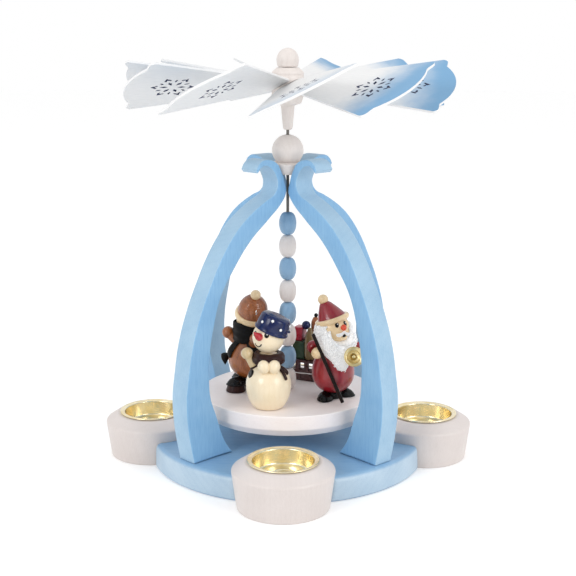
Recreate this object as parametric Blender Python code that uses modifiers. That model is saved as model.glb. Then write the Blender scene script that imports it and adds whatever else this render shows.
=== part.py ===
"""Candle carousel: a wooden table pyramid that turns in the warm air of four candles.

Metres, +Z up. The origin is the centre of the base's underside, and the front is -Y.
Angles in the plan start at the front and grow towards +X.
"""
import math

import bmesh
import bpy
from mathutils import Matrix, Vector

# Fits
GAP = 0.0003
RUNNING_GAP = 0.0008
OVERRUN = 0.002
WELD = 0.00001

# Base plate
BASE_RADIUS = 0.0965
BASE_THICKNESS = 0.017
BASE_EDGE_ROUND = 0.0045
BASE_FOOT_CHAMFER = 0.0012
NOTCH_CORNER_ROUND = 0.003

# Bearing cup in the middle of the base
BEARING_RADIUS = 0.005
BEARING_HEIGHT = 0.0095
BEARING_SEAT_DEPTH = 0.0088
BEARING_DIMPLE_RADIUS = 0.003
BEARING_DIMPLE_DEPTH = 0.004

# Candle holders, one in each notch
HOLDER_COUNT = 4
HOLDER_OVERHANG = 0.0005
HOLDER_FOOT_RADIUS = 0.030
HOLDER_RADIUS = 0.0333
HOLDER_FLANK_HEIGHT = 0.0247
HOLDER_HEIGHT = 0.0303
HOLDER_TOP_RADIUS = 0.0252

# Brass cups for tea lights
CUP_MOUTH_RADIUS = 0.020
CUP_FLOOR_RADIUS = 0.0185
CUP_DEPTH = 0.0105
CUP_WALL = 0.0006
CUP_FLANGE_RADIUS = 0.0232
CUP_RIM_ROLL = 0.0011
CUP_RIVET_RADIUS = 0.0024
CUP_RIVET_HEIGHT = 0.0008

# Arches
ARCH_THICKNESS = 0.0157
ARCH_CORNER_GAP = 0.0011
ARCH_FOOT_INSET = 0.0045
ARCH_BELLY = 0.0054
ARCH_RISE = 0.1958
DOWEL_RADIUS = 0.003
DOWEL_LENGTH = 0.008

# Funnel that the four arches form at the top
FUNNEL_MOUTH_RADIUS = 0.0176
FUNNEL_MOUTH_DROP = 0.0022
FUNNEL_SEAT_TOP_RADIUS = 0.0150
FUNNEL_SEAT_DROP = 0.0045
FUNNEL_SEAT_LOW_RADIUS = 0.0112
FUNNEL_SEAT_HEIGHT = 0.0071
FUNNEL_NECK_DROP = 0.0200

# Guide ball with its plug
BALL_RADIUS = 0.0108
BALL_RISE = 0.0087
PLUG_SHOULDER = 0.0006

# Spindle, beads and turntable
SPINDLE_RADIUS = 0.001
NEEDLE_LENGTH = 0.006
TURNTABLE_CLEARANCE = 0.0159
TURNTABLE_THICKNESS = 0.0144
TURNTABLE_RIM_HEIGHT = 0.0096
TURNTABLE_RADIUS = 0.0614
TURNTABLE_UNDERCUT = 0.0029
TURNTABLE_EDGE_ROUND = 0.0008
BOSS_RADIUS = 0.009
BOSS_HEIGHT = 0.006
BEAD_COUNT = 8
BEAD_LENGTH = 0.01564
BEAD_RADIUS = 0.0059
BEAD_END_RADIUS = 0.0030

# Impeller hub
HUB_CLEARANCE = 0.0031
HUB_RADIUS = 0.01085
HUB_DRUM_HEIGHT = 0.0157
HUB_TOP_BEVEL = 0.003
HUB_TOP_RADIUS = 0.0076
HUB_FOOT_HEIGHT = 0.005
HUB_FOOT_RADIUS = 0.0092
HUB_FOOT_BEVEL = 0.0016
STEM_TOP_RADIUS = 0.0047
STEM_END_RADIUS = 0.0032
STEM_HEIGHT = 0.0162
STEM_END_ROUND = 0.0010
SPINDLE_SEAT_DEPTH = 0.0311

# Cap knob
KNOB_RADIUS = 0.0076
KNOB_HEIGHT = 0.0127
KNOB_DOME = 0.0082
KNOB_LOW_RADIUS = 0.0070
KNOB_FOOT_RADIUS = 0.0065
KNOB_FOOT_HEIGHT = 0.0005
PEG_RADIUS = 0.002
PEG_LENGTH = 0.0045

# Blades
BLADE_COUNT = 10
BLADE_FIRST_DEG = 6.76
BLADE_PITCH_DEG = 25.7
BLADE_THICKNESS = 0.0015
SLOT_FLOOR_RADIUS = 0.0090
BLADE_ROOT_HALF_WIDTH = 0.0075
BLADE_SHOULDER_RADIUS = 0.1005
BLADE_HALF_WIDTH = 0.0355
BLADE_SHOULDER_ROUND = 0.0039
BLADE_EAR_LENGTH = 0.0073
BLADE_BULGE_HALF_WIDTH = 0.0256
BLADE_TIP_RADIUS = 0.1125
FLAKE_PLACE = 0.081
FLAKE_RADIUS = 0.0145

# Figures: places on the turntable
SNOWMAN_PLACE_RADIUS = 0.0416
SANTA_PLACE_RADIUS = 0.0363
CHILD_PLACE_RADIUS = 0.0276
SLED_PLACE_RADIUS = 0.0319
SNOWMAN_PLACE_DEG = -16.5
SANTA_PLACE_DEG = 61.9
CHILD_PLACE_DEG = -92.5
SLED_PLACE_DEG = 149.5
SNOWMAN_FACING_DEG = -31.3
SANTA_FACING_DEG = 36.7
CHILD_FACING_DEG = -98.3
SLED_FACING_DEG = -23.9

# Snowman
SNOWMAN_RADIUS = 0.0154
SNOWMAN_FOOT_RADIUS = 0.0098
SNOWMAN_BELLY_HEIGHT = 0.0155
SNOWMAN_SHOULDER_HEIGHT = 0.0300
SNOWMAN_NECK_RADIUS = 0.0060
SNOWMAN_NECK_HEIGHT = 0.0075
SNOWMAN_HEAD_RADIUS = 0.0108
SNOWMAN_ARM_LENGTH = 0.0160
SNOWMAN_ARM_RADIUS = 0.0042
SNOWMAN_HAND_RADIUS = 0.0043
SNOWMAN_HAND_RISE = 0.0005
NOSE_RADIUS = 0.0028
NOSE_LENGTH = 0.0080
NOSE_RISE_DEG = 11.0
NOSE_TILT_DEG = 36.0
POT_RADIUS = 0.0106
POT_TOP_RADIUS = 0.0098
POT_HEIGHT = 0.0115
POT_RIM_ROLL = 0.0009
POT_SEAT_RISE = 0.0035
POT_TILT_DEG = 22.0
POT_HANDLE_RADIUS = 0.0018
SCARF_RADIUS = 0.0110
SCARF_TAIL_LENGTH = 0.0140
SCARF_TAIL_WIDTH = 0.0046
SCARF_TAIL_THICKNESS = 0.0024
TAIL_LEAN_DEG = -32.0
SNOWMAN_ARM_DEG = -60.0
SNOWMAN_ARM_LEAN_DEG = 10.0
SNOWMAN_HAND_DEGS = (14.0, 50.0)
SNOWMAN_TAIL_DEGS = (88.0, 112.0)

# Gift bringer
SANTA_RADIUS = 0.0148
SANTA_FOOT_RADIUS = 0.0070
SANTA_BELLY_HEIGHT = 0.0127
SANTA_BODY_HEIGHT = 0.0325
SANTA_NECK_RADIUS = 0.0050
SANTA_HEAD_RADIUS = 0.0113
SANTA_NOSE_RADIUS = 0.0018
BOOT_LENGTH = 0.0140
BOOT_WIDTH = 0.0108
BOOT_HEIGHT = 0.0054
BOOT_SPREAD = 0.0080
BOOT_SPLAY_DEG = 25.0
SANTA_BOOT_FORWARD = 0.0023
HEEL_RADIUS = 0.0068
HEEL_HEIGHT = 0.0046
BEARD_RADIUS = 0.0128
BEARD_LENGTH = 0.0310
BEARD_FORWARD = 0.0060
BEARD_TILT_DEG = -20.0
HAT_BRIM_RADIUS = 0.0122
HAT_BRIM_HEIGHT = 0.0050
HAT_CONE_RADIUS = 0.0098
HAT_CONE_HEIGHT = 0.0120
HAT_MIDDLE_RADIUS = 0.0071
HAT_SEAT_RISE = 0.0036
HAT_BOBBLE_RADIUS = 0.0036
SANTA_HAT_TILT_DEG = -18.0
SLEEVE_RADIUS = 0.0044
GLOVE_RADIUS = 0.0040
STAFF_RADIUS = 0.0010
STAFF_REACH = 0.0218
STAFF_FOOT_DEG = -20.0
STAFF_HEAD_DEG = -85.0
BELL_RADIUS = 0.0069
BELL_LENGTH = 0.0075
BELL_WALL = 0.0007
CLAPPER_RADIUS = 0.0013
BELL_DEG = 40.0
BELL_TURN_DEG = 15.0
SANTA_RIGHT_ARM_DEGS = (-98.0, -76.0)
SANTA_LEFT_ARM_DEGS = (96.0, 74.0)

# Child
CHILD_RADIUS = 0.0146
CHILD_FOOT_RADIUS = 0.0070
CHILD_BELLY_HEIGHT = 0.0125
CHILD_BODY_HEIGHT = 0.0285
CHILD_NECK_RADIUS = 0.0045
CHILD_HEAD_RADIUS = 0.0105
CHILD_BOOT_FORWARD = 0.0080
STAND_RADIUS = 0.0070
STAND_TOP_RADIUS = 0.0058
STAND_HEIGHT = 0.0047
CHILD_ARM_LENGTH = 0.0190
CHILD_ARM_LEAN_DEG = 48.0
CHILD_ARM_DEGS = (-8.0, 120.0)
CHILD_TAIL_DEG = 30.0
CHILD_SCARF_RADIUS = 0.0108
CHILD_SCARF_HEIGHT = 0.0125
CHILD_HAT_TILT_DEG = 16.0
CHILD_HAT_SEAT_RISE = 0.0010
CHILD_HAT_HEIGHT = 0.0120
CHILD_HAT_MIDDLE_RADIUS = 0.0086
BASKET_RADIUS = 0.0026
BASKET_HEIGHT = 0.0050
BASKET_STICK_RADIUS = 0.0006
BASKET_STICK_LENGTH = 0.0050

# Sled
SLED_LENGTH = 0.030
SLED_WIDTH = 0.018
SLED_HEIGHT = 0.0149
SLED_WALL = 0.0024
SLED_WINDOW_WIDTH = 0.0037
SLED_WINDOW_HEIGHT = 0.0056
SLED_WINDOW_SILL = 0.0080
SLED_WINDOW_COUNT = 4
GREEN_BOX_LENGTH = 0.0093
GREEN_BOX_HEIGHT = 0.0130
RED_BOX_LENGTH = 0.0070
RED_BOX_HEIGHT = 0.0102
BALL_PARCEL_RADIUS = 0.0032
SACK_RADIUS = 0.0052
SACK_HEIGHT = 0.0215
SACK_TIE_RADIUS = 0.0017

# Heights and radii that follow from the sizes above
HOLDER_CIRCLE_RADIUS = BASE_RADIUS + HOLDER_OVERHANG
ARCH_NECK_RADIUS = ARCH_THICKNESS / 2 + ARCH_CORNER_GAP / math.sqrt(2)
ARCH_REACH = BASE_RADIUS - ARCH_FOOT_INSET + ARCH_BELLY
ARCH_FOOT_Z = BASE_THICKNESS + GAP
ARCH_TOP_Z = ARCH_FOOT_Z + ARCH_RISE
BEARING_Z = BASE_THICKNESS - BEARING_SEAT_DEPTH + GAP
NEEDLE_TIP_Z = BEARING_Z + BEARING_HEIGHT - BEARING_DIMPLE_DEPTH + GAP
TURNTABLE_TOP_Z = BASE_THICKNESS + TURNTABLE_CLEARANCE + TURNTABLE_THICKNESS
BALL_CENTRE_Z = ARCH_TOP_Z - FUNNEL_SEAT_DROP + BALL_RISE
HUB_Z = BALL_CENTRE_Z + BALL_RADIUS + HUB_CLEARANCE
HUB_DRUM_Z = STEM_HEIGHT + HUB_FOOT_BEVEL + HUB_FOOT_HEIGHT
HUB_TOP = HUB_DRUM_Z + HUB_DRUM_HEIGHT + HUB_TOP_BEVEL
SPINDLE_TOP_Z = HUB_Z + SPINDLE_SEAT_DEPTH - GAP
FIGURE_Z = TURNTABLE_TOP_Z + GAP

# Facets round a full turn
BASE_STEPS = 48
TURNTABLE_STEPS = 40
HOLDER_STEPS = 24
CUP_STEPS = 16
HUB_STEPS = 24
BALL_STEPS = 14
BEAD_STEPS = 8
FIGURE_STEPS = 12
SMALL_STEPS = 8

# Shares of the arch: reach from the neck to the belly, and rise from the foot to the lip
ARCH_OUTER_SHARES = (
    (0.985, 0.110), (1.000, 0.220), (0.976, 0.305), (0.930, 0.410), (0.853, 0.509), (0.748, 0.601),
    (0.615, 0.703), (0.462, 0.780), (0.223, 0.856), (0.117, 0.882), (0.086, 0.912),
)
ARCH_LIP_SHARES = ((0.104, 0.942), (0.142, 0.965), (0.200, 0.979), (0.243, 0.976))
ARCH_LIP_TIP_SHARES = ((0.286, 0.957), (0.305, 0.967))
ARCH_CREST_SHARES = ((0.272, 0.989), (0.218, 1.000), (0.151, 0.998))
ARCH_INNER_SHARES = (
    (0.000, 0.878), (0.044, 0.847), (0.178, 0.796), (0.365, 0.729), (0.530, 0.643), (0.655, 0.560),
    (0.735, 0.450), (0.778, 0.350), (0.782, 0.280), (0.770, 0.215), (0.721, 0.150), (0.643, 0.052),
)
ARCH_TOE_SHARE = 0.566
DOWEL_SHARE = 0.75

# Openings of one snowflake arm, in shares of the flake's radius: a slit and an arrowhead
FLAKE_ARMS = 6
FLAKE_SLIT_SHARES = ((0.18, 0.0), (0.42, 0.07), (0.62, 0.0), (0.42, -0.07))
FLAKE_ARROW_SHARES = ((1.0, 0.0), (0.66, 0.27), (0.58, 0.19), (0.78, 0.0), (0.58, -0.19), (0.66, -0.27))
BLADE_HEIGHT_SHARE = 0.48
ARM_STAND_SHARE = 0.435
HAND_STAND_SHARE = 0.35
FILLET_SHARE = 0.8
TAIL_DROP_SHARE = 0.2

# Points along each round stretch
FILLET_STEPS = 3
NOTCH_STEPS = 14
ARCH_CURVE_STEPS = 3

# Colour (sRGB hex), roughness and metallic value of each finish
FINISHES = {
    "light_blue_wood": ("A9C8E0", 0.50, 0.0),
    "mid_blue_wood": ("7FA8D0", 0.45, 0.0),
    "white_wood": ("E8E0DB", 0.50, 0.0),
    "brass": ("E2C67A", 0.25, 1.0),
    "steel": ("6A6662", 0.35, 1.0),
    "cream_wood": ("EFDDBB", 0.40, 0.0),
    "red_wood": ("8E2A35", 0.40, 0.0),
    "carrot_red_wood": ("B5262E", 0.40, 0.0),
    "navy_wood": ("1E2A55", 0.35, 0.0),
    "dark_brown_wood": ("3A1E1E", 0.40, 0.0),
    "brown_wood": ("9A5A3A", 0.40, 0.0),
    "black_wood": ("1B1718", 0.40, 0.0),
    "green_wood": ("24402C", 0.45, 0.0),
    "olive_wood": ("6E5A35", 0.50, 0.0),
    "skin_wood": ("E8C79B", 0.40, 0.0),
    "white_fleece": ("F0EEEC", 0.90, 0.0),
}


def clear_scene():
    for existing in list(bpy.data.objects):
        bpy.data.objects.remove(existing, do_unlink=True)


def new_collection(name):
    collection = bpy.data.collections.new(name)
    bpy.context.scene.collection.children.link(collection)
    return collection


clear_scene()
PARTS = new_collection("candle_carousel")
CUTTERS = new_collection("cutters")


def linear(channel):
    """Linear light value of an sRGB channel."""
    return channel / 12.92 if channel <= 0.04045 else ((channel + 0.055) / 1.055) ** 2.4


def finish_material(name, finish):
    hex_colour, roughness, metallic = FINISHES[finish]
    colour = [linear(int(hex_colour[i:i + 2], 16) / 255) for i in (0, 2, 4)]
    material = bpy.data.materials.new(f"{name}_{finish}")
    material.use_nodes = True
    shader = material.node_tree.nodes["Principled BSDF"]
    shader.inputs["Base Color"].default_value = (*colour, 1.0)
    shader.inputs["Roughness"].default_value = roughness
    shader.inputs["Metallic"].default_value = metallic
    return material


def place_at(radius, angle_deg, height=0.0):
    """Point at a radius from the upright axis."""
    angle = math.radians(angle_deg)
    return Vector((radius * math.sin(angle), -radius * math.cos(angle), height))


def add_object(name, mesh, collection=None, parent=None, matrix=None):
    obj = bpy.data.objects.new(name, mesh)
    (collection or PARTS).objects.link(obj)
    obj.parent = parent
    if matrix is not None:
        obj.matrix_local = matrix
    return obj


def add_empty(name, parent=None, location=(0, 0, 0), turn_deg=0.0):
    empty = add_object(name, None, parent=parent)
    empty.location = location
    empty.rotation_euler.z = math.radians(turn_deg)
    return empty


def placed(location=(0, 0, 0), turn_deg=0.0, tilt_deg=0.0, axis="Y"):
    """Matrix that tilts about one axis, turns about Z and then moves."""
    tilt = Matrix.Rotation(math.radians(tilt_deg), 4, axis)
    turn = Matrix.Rotation(math.radians(turn_deg), 4, "Z")
    return Matrix.Translation(location) @ turn @ tilt


def arc(centre_r, centre_z, radius_r, radius_z, start_deg, end_deg, steps):
    """Points on an arc of an ellipse in the (radius, height) plane, both ends included."""
    points = []
    for i in range(steps + 1):
        angle = math.radians(start_deg + (end_deg - start_deg) * i / steps)
        points.append((centre_r + radius_r * math.cos(angle), centre_z + radius_z * math.sin(angle)))
    return points


def turned(name, profile, steps, collection=None, parent=None, matrix=None, bored=False):
    """A turned solid from its (radius, height) profile, which runs down the outer side."""
    mesh = bpy.data.meshes.new(name)
    edges = [(i, i + 1) for i in range(len(profile) - 1)]
    if bored:
        edges.append((len(profile) - 1, 0))
    mesh.from_pydata([(radius, 0.0, height) for radius, height in profile], edges, [])
    obj = add_object(name, mesh, collection, parent, matrix)
    screw = obj.modifiers.new("Turn", "SCREW")
    screw.axis = "Z"
    screw.steps = steps
    screw.render_steps = steps
    screw.use_merge_vertices = True
    screw.merge_threshold = WELD
    return obj


def box(name, size, centre, collection=None, parent=None, matrix=None):
    """A box of a given size, with its centre given in its own frame."""
    shape = bmesh.new()
    bmesh.ops.create_cube(shape, size=1.0, matrix=Matrix.Translation(centre) @ Matrix.Diagonal((*size, 1.0)))
    mesh = bpy.data.meshes.new(name)
    shape.to_mesh(mesh)
    shape.free()
    return add_object(name, mesh, collection, parent, matrix)


def ball(name, radii, steps, collection=None, parent=None, matrix=None):
    """An ellipsoid with its poles up and down."""
    shape = bmesh.new()
    bmesh.ops.create_uvsphere(
        shape, u_segments=steps, v_segments=steps // 2, radius=1.0, matrix=Matrix.Diagonal((*radii, 1.0)))
    mesh = bpy.data.meshes.new(name)
    shape.to_mesh(mesh)
    shape.free()
    return add_object(name, mesh, collection, parent, matrix)


def loft(name, lower, upper, low_z, high_z, collection=None, parent=None):
    """A solid between two outlines with as many points, one above the other."""
    shape = bmesh.new()
    low = [shape.verts.new((x, y, low_z)) for x, y in lower]
    high = [shape.verts.new((x, y, high_z)) for x, y in upper]
    for i in range(len(low)):
        j = (i + 1) % len(low)
        shape.faces.new((low[i], low[j], high[j], high[i]))
    shape.faces.new(list(reversed(low)))
    shape.faces.new(high)
    bmesh.ops.recalc_face_normals(shape, faces=shape.faces)
    mesh = bpy.data.meshes.new(name)
    shape.to_mesh(mesh)
    shape.free()
    return add_object(name, mesh, collection, parent)


def plate(name, splines, thickness, resolution=1):
    """A flat plate in the XY plane, from its outline and the outlines of its holes."""
    curve = bpy.data.curves.new(name, "CURVE")
    curve.dimensions = "2D"
    curve.fill_mode = "BOTH"
    curve.extrude = thickness / 2
    curve.resolution_u = resolution
    curve.render_resolution_u = resolution
    for points in splines:
        add_spline(curve, points)
    outline = add_object(name + "_outline", curve)
    mesh = bpy.data.meshes.new_from_object(outline.evaluated_get(bpy.context.evaluated_depsgraph_get()))
    bpy.data.objects.remove(outline, do_unlink=True)
    shape = bmesh.new()
    shape.from_mesh(mesh)
    bmesh.ops.remove_doubles(shape, verts=shape.verts, dist=WELD)
    bmesh.ops.recalc_face_normals(shape, faces=shape.faces)
    shape.to_mesh(mesh)
    shape.free()
    mesh.name = name
    mesh.materials.clear()
    return mesh


def add_spline(curve, points):
    """A closed spline through (x, y, kind) points, where kind is SMOOTH or CORNER."""
    spline = curve.splines.new("BEZIER")
    spline.bezier_points.add(len(points) - 1)
    for bezier, (x, y, kind) in zip(spline.bezier_points, points):
        bezier.co = (x, y, 0.0)
        handle = "AUTO" if kind == "SMOOTH" else "VECTOR"
        bezier.handle_left_type = handle
        bezier.handle_right_type = handle
    spline.use_cyclic_u = True


def use_tool(target, tool, operation):
    """Cut a tool away from a solid, or join it on, with an exact Boolean."""
    modifier = target.modifiers.new(operation.title(), "BOOLEAN")
    modifier.operation = operation
    modifier.solver = "EXACT"
    modifier.object = tool
    tool.hide_render = True
    tool.display_type = "WIRE"


def cut(target, *tools):
    for tool in tools:
        use_tool(target, tool, "DIFFERENCE")


def join(target, *tools):
    for tool in tools:
        use_tool(target, tool, "UNION")


def settle(obj, finish):
    """Turn the modifiers' result into the object's own mesh, shade it and give it its finish."""
    if obj.modifiers:
        evaluated = obj.evaluated_get(bpy.context.evaluated_depsgraph_get())
        obj.data = bpy.data.meshes.new_from_object(evaluated)
        obj.data.name = obj.name
        obj.modifiers.clear()
    obj.data.shade_smooth()
    obj.data.set_sharp_from_angle(angle=math.radians(35))
    obj.data.materials.clear()
    obj.data.materials.append(finish_material(obj.name, finish))
    return obj


def copy_of(source, name, parent, matrix):
    """Another object with the same mesh."""
    return add_object(name, source.data, parent=parent, matrix=matrix)


def holder_radius(height):
    """Radius of a holder's tapered flank at a height above the table."""
    slope = (HOLDER_RADIUS - HOLDER_FOOT_RADIUS) / HOLDER_FLANK_HEIGHT
    return HOLDER_FOOT_RADIUS + slope * height


def notch_outline(angle_deg, height):
    """Plan of one notch: round a holder, with rounded corners, and open past the rim."""
    notch_radius = holder_radius(height) + GAP
    fillet_distance = BASE_RADIUS - NOTCH_CORNER_ROUND
    reach = notch_radius + NOTCH_CORNER_ROUND
    cosine = (fillet_distance ** 2 + HOLDER_CIRCLE_RADIUS ** 2 - reach ** 2)
    cosine /= 2 * fillet_distance * HOLDER_CIRCLE_RADIUS
    fillet_angle = math.acos(cosine)
    holder = Vector((0.0, -HOLDER_CIRCLE_RADIUS))
    corner = Vector((math.sin(fillet_angle), -math.cos(fillet_angle))) * fillet_distance
    to_holder = (holder - corner).normalized()
    sweep = to_holder.angle_signed(corner.normalized())
    half = []
    for i in range(FILLET_STEPS + 1):
        turn = Matrix.Rotation(-sweep * FILLET_SHARE * i / FILLET_STEPS, 2)
        half.append(corner + turn @ to_holder * NOTCH_CORNER_ROUND)
    half.append(half[-1].normalized() * (BASE_RADIUS + OVERRUN) / math.cos(fillet_angle))
    start = math.atan2(half[0].x, half[0].y - holder.y)
    bowl = []
    for i in range(1, NOTCH_STEPS):
        angle = start * (1 - 2 * i / NOTCH_STEPS)
        bowl.append(holder + Vector((math.sin(angle), math.cos(angle))) * notch_radius)
    mirrored = [Vector((-point.x, point.y)) for point in half]
    outline = list(reversed(half)) + bowl + mirrored
    turn = Matrix.Rotation(math.radians(angle_deg), 2)
    return [turn @ point for point in outline]


def base_plate():
    """Round plate with a notch for each holder, a seat for the bearing and holes for the dowels."""
    seat_floor = BASE_THICKNESS - BEARING_SEAT_DEPTH
    seat_radius = BEARING_RADIUS + GAP
    edge_r = BASE_RADIUS - BASE_EDGE_ROUND
    edge_z = BASE_THICKNESS - BASE_EDGE_ROUND
    profile = [(0.0, seat_floor), (seat_radius, seat_floor), (seat_radius, BASE_THICKNESS)]
    profile += arc(edge_r, edge_z, BASE_EDGE_ROUND, BASE_EDGE_ROUND, 90, 0, 3)
    profile += [(BASE_RADIUS, BASE_FOOT_CHAMFER), (BASE_RADIUS - BASE_FOOT_CHAMFER, 0.0), (0.0, 0.0)]
    plate_solid = turned("base_plate", profile, BASE_STEPS)
    low, high = -OVERRUN, BASE_THICKNESS + OVERRUN
    for i in range(HOLDER_COUNT):
        angle = 360 * i / HOLDER_COUNT
        notch = loft(f"notch_{i}", notch_outline(angle, low), notch_outline(angle, high), low, high, CUTTERS)
        hole_angle = angle + 180 / HOLDER_COUNT
        hole = dowel(f"dowel_hole_{i}", DOWEL_RADIUS + GAP, CUTTERS)
        hole.location = place_at(dowel_place(), hole_angle, BASE_THICKNESS - DOWEL_LENGTH)
        cut(plate_solid, notch, hole)
    settle(plate_solid, "light_blue_wood")


def dowel(name, radius, collection):
    """An upright dowel that stands OVERRUN past both its ends."""
    profile = [(0.0, DOWEL_LENGTH + OVERRUN), (radius, DOWEL_LENGTH + OVERRUN), (radius, 0.0), (0.0, 0.0)]
    return turned(name, profile, SMALL_STEPS, collection)


def bearing_cup():
    profile = [
        (0.0, BEARING_HEIGHT - BEARING_DIMPLE_DEPTH), (BEARING_DIMPLE_RADIUS, BEARING_HEIGHT),
        (BEARING_RADIUS, BEARING_HEIGHT), (BEARING_RADIUS, 0.0), (0.0, 0.0),
    ]
    bearing = turned("bearing_cup", profile, SMALL_STEPS * 2, matrix=placed((0, 0, BEARING_Z)))
    settle(bearing, "brass")


def cup_outer_radius(depth):
    """Outer radius of a brass cup at a depth below the holder's top."""
    slope = (CUP_MOUTH_RADIUS - CUP_FLOOR_RADIUS) / CUP_DEPTH
    return CUP_MOUTH_RADIUS + CUP_WALL - slope * depth


def holder_profile():
    """Foot, flank that leans out, round shoulder and wide chamfer, with the socket for the cup."""
    socket_depth = CUP_DEPTH + CUP_WALL + GAP
    socket_floor = HOLDER_HEIGHT - socket_depth
    shoulder = HOLDER_HEIGHT - HOLDER_FLANK_HEIGHT
    return [
        (0.0, socket_floor), (cup_outer_radius(CUP_DEPTH) + GAP, socket_floor),
        (cup_outer_radius(0.0) + GAP, HOLDER_HEIGHT), (HOLDER_TOP_RADIUS, HOLDER_HEIGHT),
        (HOLDER_RADIUS - shoulder * 0.25, HOLDER_FLANK_HEIGHT + shoulder * 0.35),
        (HOLDER_RADIUS, HOLDER_FLANK_HEIGHT), (HOLDER_FOOT_RADIUS, 0.0), (0.0, 0.0),
    ]


def cup_profile():
    """Sheet-brass cup with a flange, a rolled rim and a rivet; its zero is the flange's underside."""
    floor = CUP_WALL - CUP_DEPTH
    roll = CUP_RIM_ROLL / 2
    rim = arc(CUP_FLANGE_RADIUS - roll, roll, roll, roll, 135, -90, 3)
    return [
        (0.0, floor + CUP_RIVET_HEIGHT), (CUP_RIVET_RADIUS * 0.7, floor + CUP_RIVET_HEIGHT),
        (CUP_RIVET_RADIUS, floor), (CUP_FLOOR_RADIUS, floor), (CUP_MOUTH_RADIUS, CUP_WALL), *rim,
        (cup_outer_radius(0.0), 0.0), (cup_outer_radius(CUP_DEPTH), floor - CUP_WALL),
        (0.0, floor - CUP_WALL),
    ]


def holders_and_cups():
    holder_mesh = settle(turned("candle_holder_front", holder_profile(), HOLDER_STEPS), "white_wood")
    cup_mesh = settle(turned("brass_cup_front", cup_profile(), CUP_STEPS), "brass")
    for i, side in enumerate(("front", "right", "back", "left")):
        angle = 360 * i / HOLDER_COUNT
        holder_matrix = placed(place_at(HOLDER_CIRCLE_RADIUS, angle), angle)
        cup_matrix = placed(place_at(HOLDER_CIRCLE_RADIUS, angle, HOLDER_HEIGHT + GAP), angle)
        if i == 0:
            holder_mesh.matrix_local = holder_matrix
            cup_mesh.matrix_local = cup_matrix
        else:
            copy_of(holder_mesh, f"candle_holder_{side}", None, holder_matrix)
            copy_of(cup_mesh, f"brass_cup_{side}", None, cup_matrix)


def arch_point(shares, kind="SMOOTH"):
    reach_share, rise_share = shares
    return (ARCH_NECK_RADIUS + reach_share * (ARCH_REACH - ARCH_NECK_RADIUS), rise_share * ARCH_RISE, kind)


def dowel_place():
    """Distance of an arch's dowel from the axis, between the toe and the heel of its foot."""
    toe = arch_point((ARCH_TOE_SHARE, 0.0))[0]
    heel = BASE_RADIUS - ARCH_FOOT_INSET
    return toe + (heel - toe) * DOWEL_SHARE


def arch_outline():
    """Side of one arch: up its back, round the lip, down the funnel and the neck to the toe."""
    seat_top = ARCH_RISE - FUNNEL_SEAT_DROP
    outline = [(BASE_RADIUS - ARCH_FOOT_INSET, 0.0, "CORNER")]
    outline += [arch_point(shares) for shares in ARCH_OUTER_SHARES + ARCH_LIP_SHARES]
    outline += [arch_point(shares, "CORNER") for shares in ARCH_LIP_TIP_SHARES]
    outline += [arch_point(shares) for shares in ARCH_CREST_SHARES]
    outline += [
        (FUNNEL_MOUTH_RADIUS, ARCH_RISE - FUNNEL_MOUTH_DROP, "CORNER"),
        (FUNNEL_SEAT_TOP_RADIUS, seat_top, "CORNER"),
        (FUNNEL_SEAT_LOW_RADIUS, seat_top - FUNNEL_SEAT_HEIGHT, "CORNER"),
        (ARCH_NECK_RADIUS, ARCH_RISE - FUNNEL_NECK_DROP, "CORNER"),
    ]
    outline += [arch_point(shares) for shares in ARCH_INNER_SHARES]
    outline.append(arch_point((ARCH_TOE_SHARE, 0.0), "CORNER"))
    return outline


def arches():
    """Four arches sawn from board, each with a dowel under its foot."""
    mesh = plate("arch", [arch_outline()], ARCH_THICKNESS, ARCH_CURVE_STEPS)
    mesh.transform(Matrix.Rotation(math.radians(90), 4, "X"))
    first = add_object("arch_front_left", mesh)
    peg = dowel("arch_dowel", DOWEL_RADIUS, CUTTERS)
    peg.location = (dowel_place(), 0.0, -DOWEL_LENGTH)
    join(first, peg)
    settle(first, "light_blue_wood")
    names = ("front_right", "back_right", "back_left", "front_left")
    for i, side in enumerate(names):
        turn = 360 * (i + 0.5) / HOLDER_COUNT - 90
        matrix = placed((0, 0, ARCH_FOOT_Z), turn)
        if side == "front_left":
            first.matrix_local = matrix
        else:
            copy_of(first, f"arch_{side}", None, matrix)


def guide_ball():
    """Ball that guides the shaft, with a conical plug that sits in the arches' funnel."""
    bore = SPINDLE_RADIUS + RUNNING_GAP
    seat_gap = GAP + GAP / 2
    shoulder_z = -BALL_RISE
    start = math.degrees(math.acos(bore / BALL_RADIUS))
    end = -math.degrees(math.asin((BALL_RISE - PLUG_SHOULDER) / BALL_RADIUS))
    profile = arc(0.0, 0.0, BALL_RADIUS, BALL_RADIUS, start, end, 6)
    profile += [
        (FUNNEL_SEAT_TOP_RADIUS - seat_gap - PLUG_SHOULDER, shoulder_z + PLUG_SHOULDER / 2),
        (FUNNEL_SEAT_TOP_RADIUS - seat_gap, shoulder_z),
        (FUNNEL_SEAT_LOW_RADIUS - seat_gap, shoulder_z - FUNNEL_SEAT_HEIGHT),
        (bore, shoulder_z - FUNNEL_SEAT_HEIGHT),
    ]
    solid = turned("guide_ball", profile, BALL_STEPS, matrix=placed((0, 0, BALL_CENTRE_Z)), bored=True)
    settle(solid, "white_wood")


def spindle(carousel):
    """Steel shaft with a needle tip that stands in the bearing cup."""
    length = SPINDLE_TOP_Z - NEEDLE_TIP_Z
    profile = [(0.0, length), (SPINDLE_RADIUS, length), (SPINDLE_RADIUS, NEEDLE_LENGTH), (0.0, 0.0)]
    shaft = turned("spindle", profile, SMALL_STEPS, parent=carousel)
    shaft.location.z = NEEDLE_TIP_Z - carousel.location.z
    settle(shaft, "steel")


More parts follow.
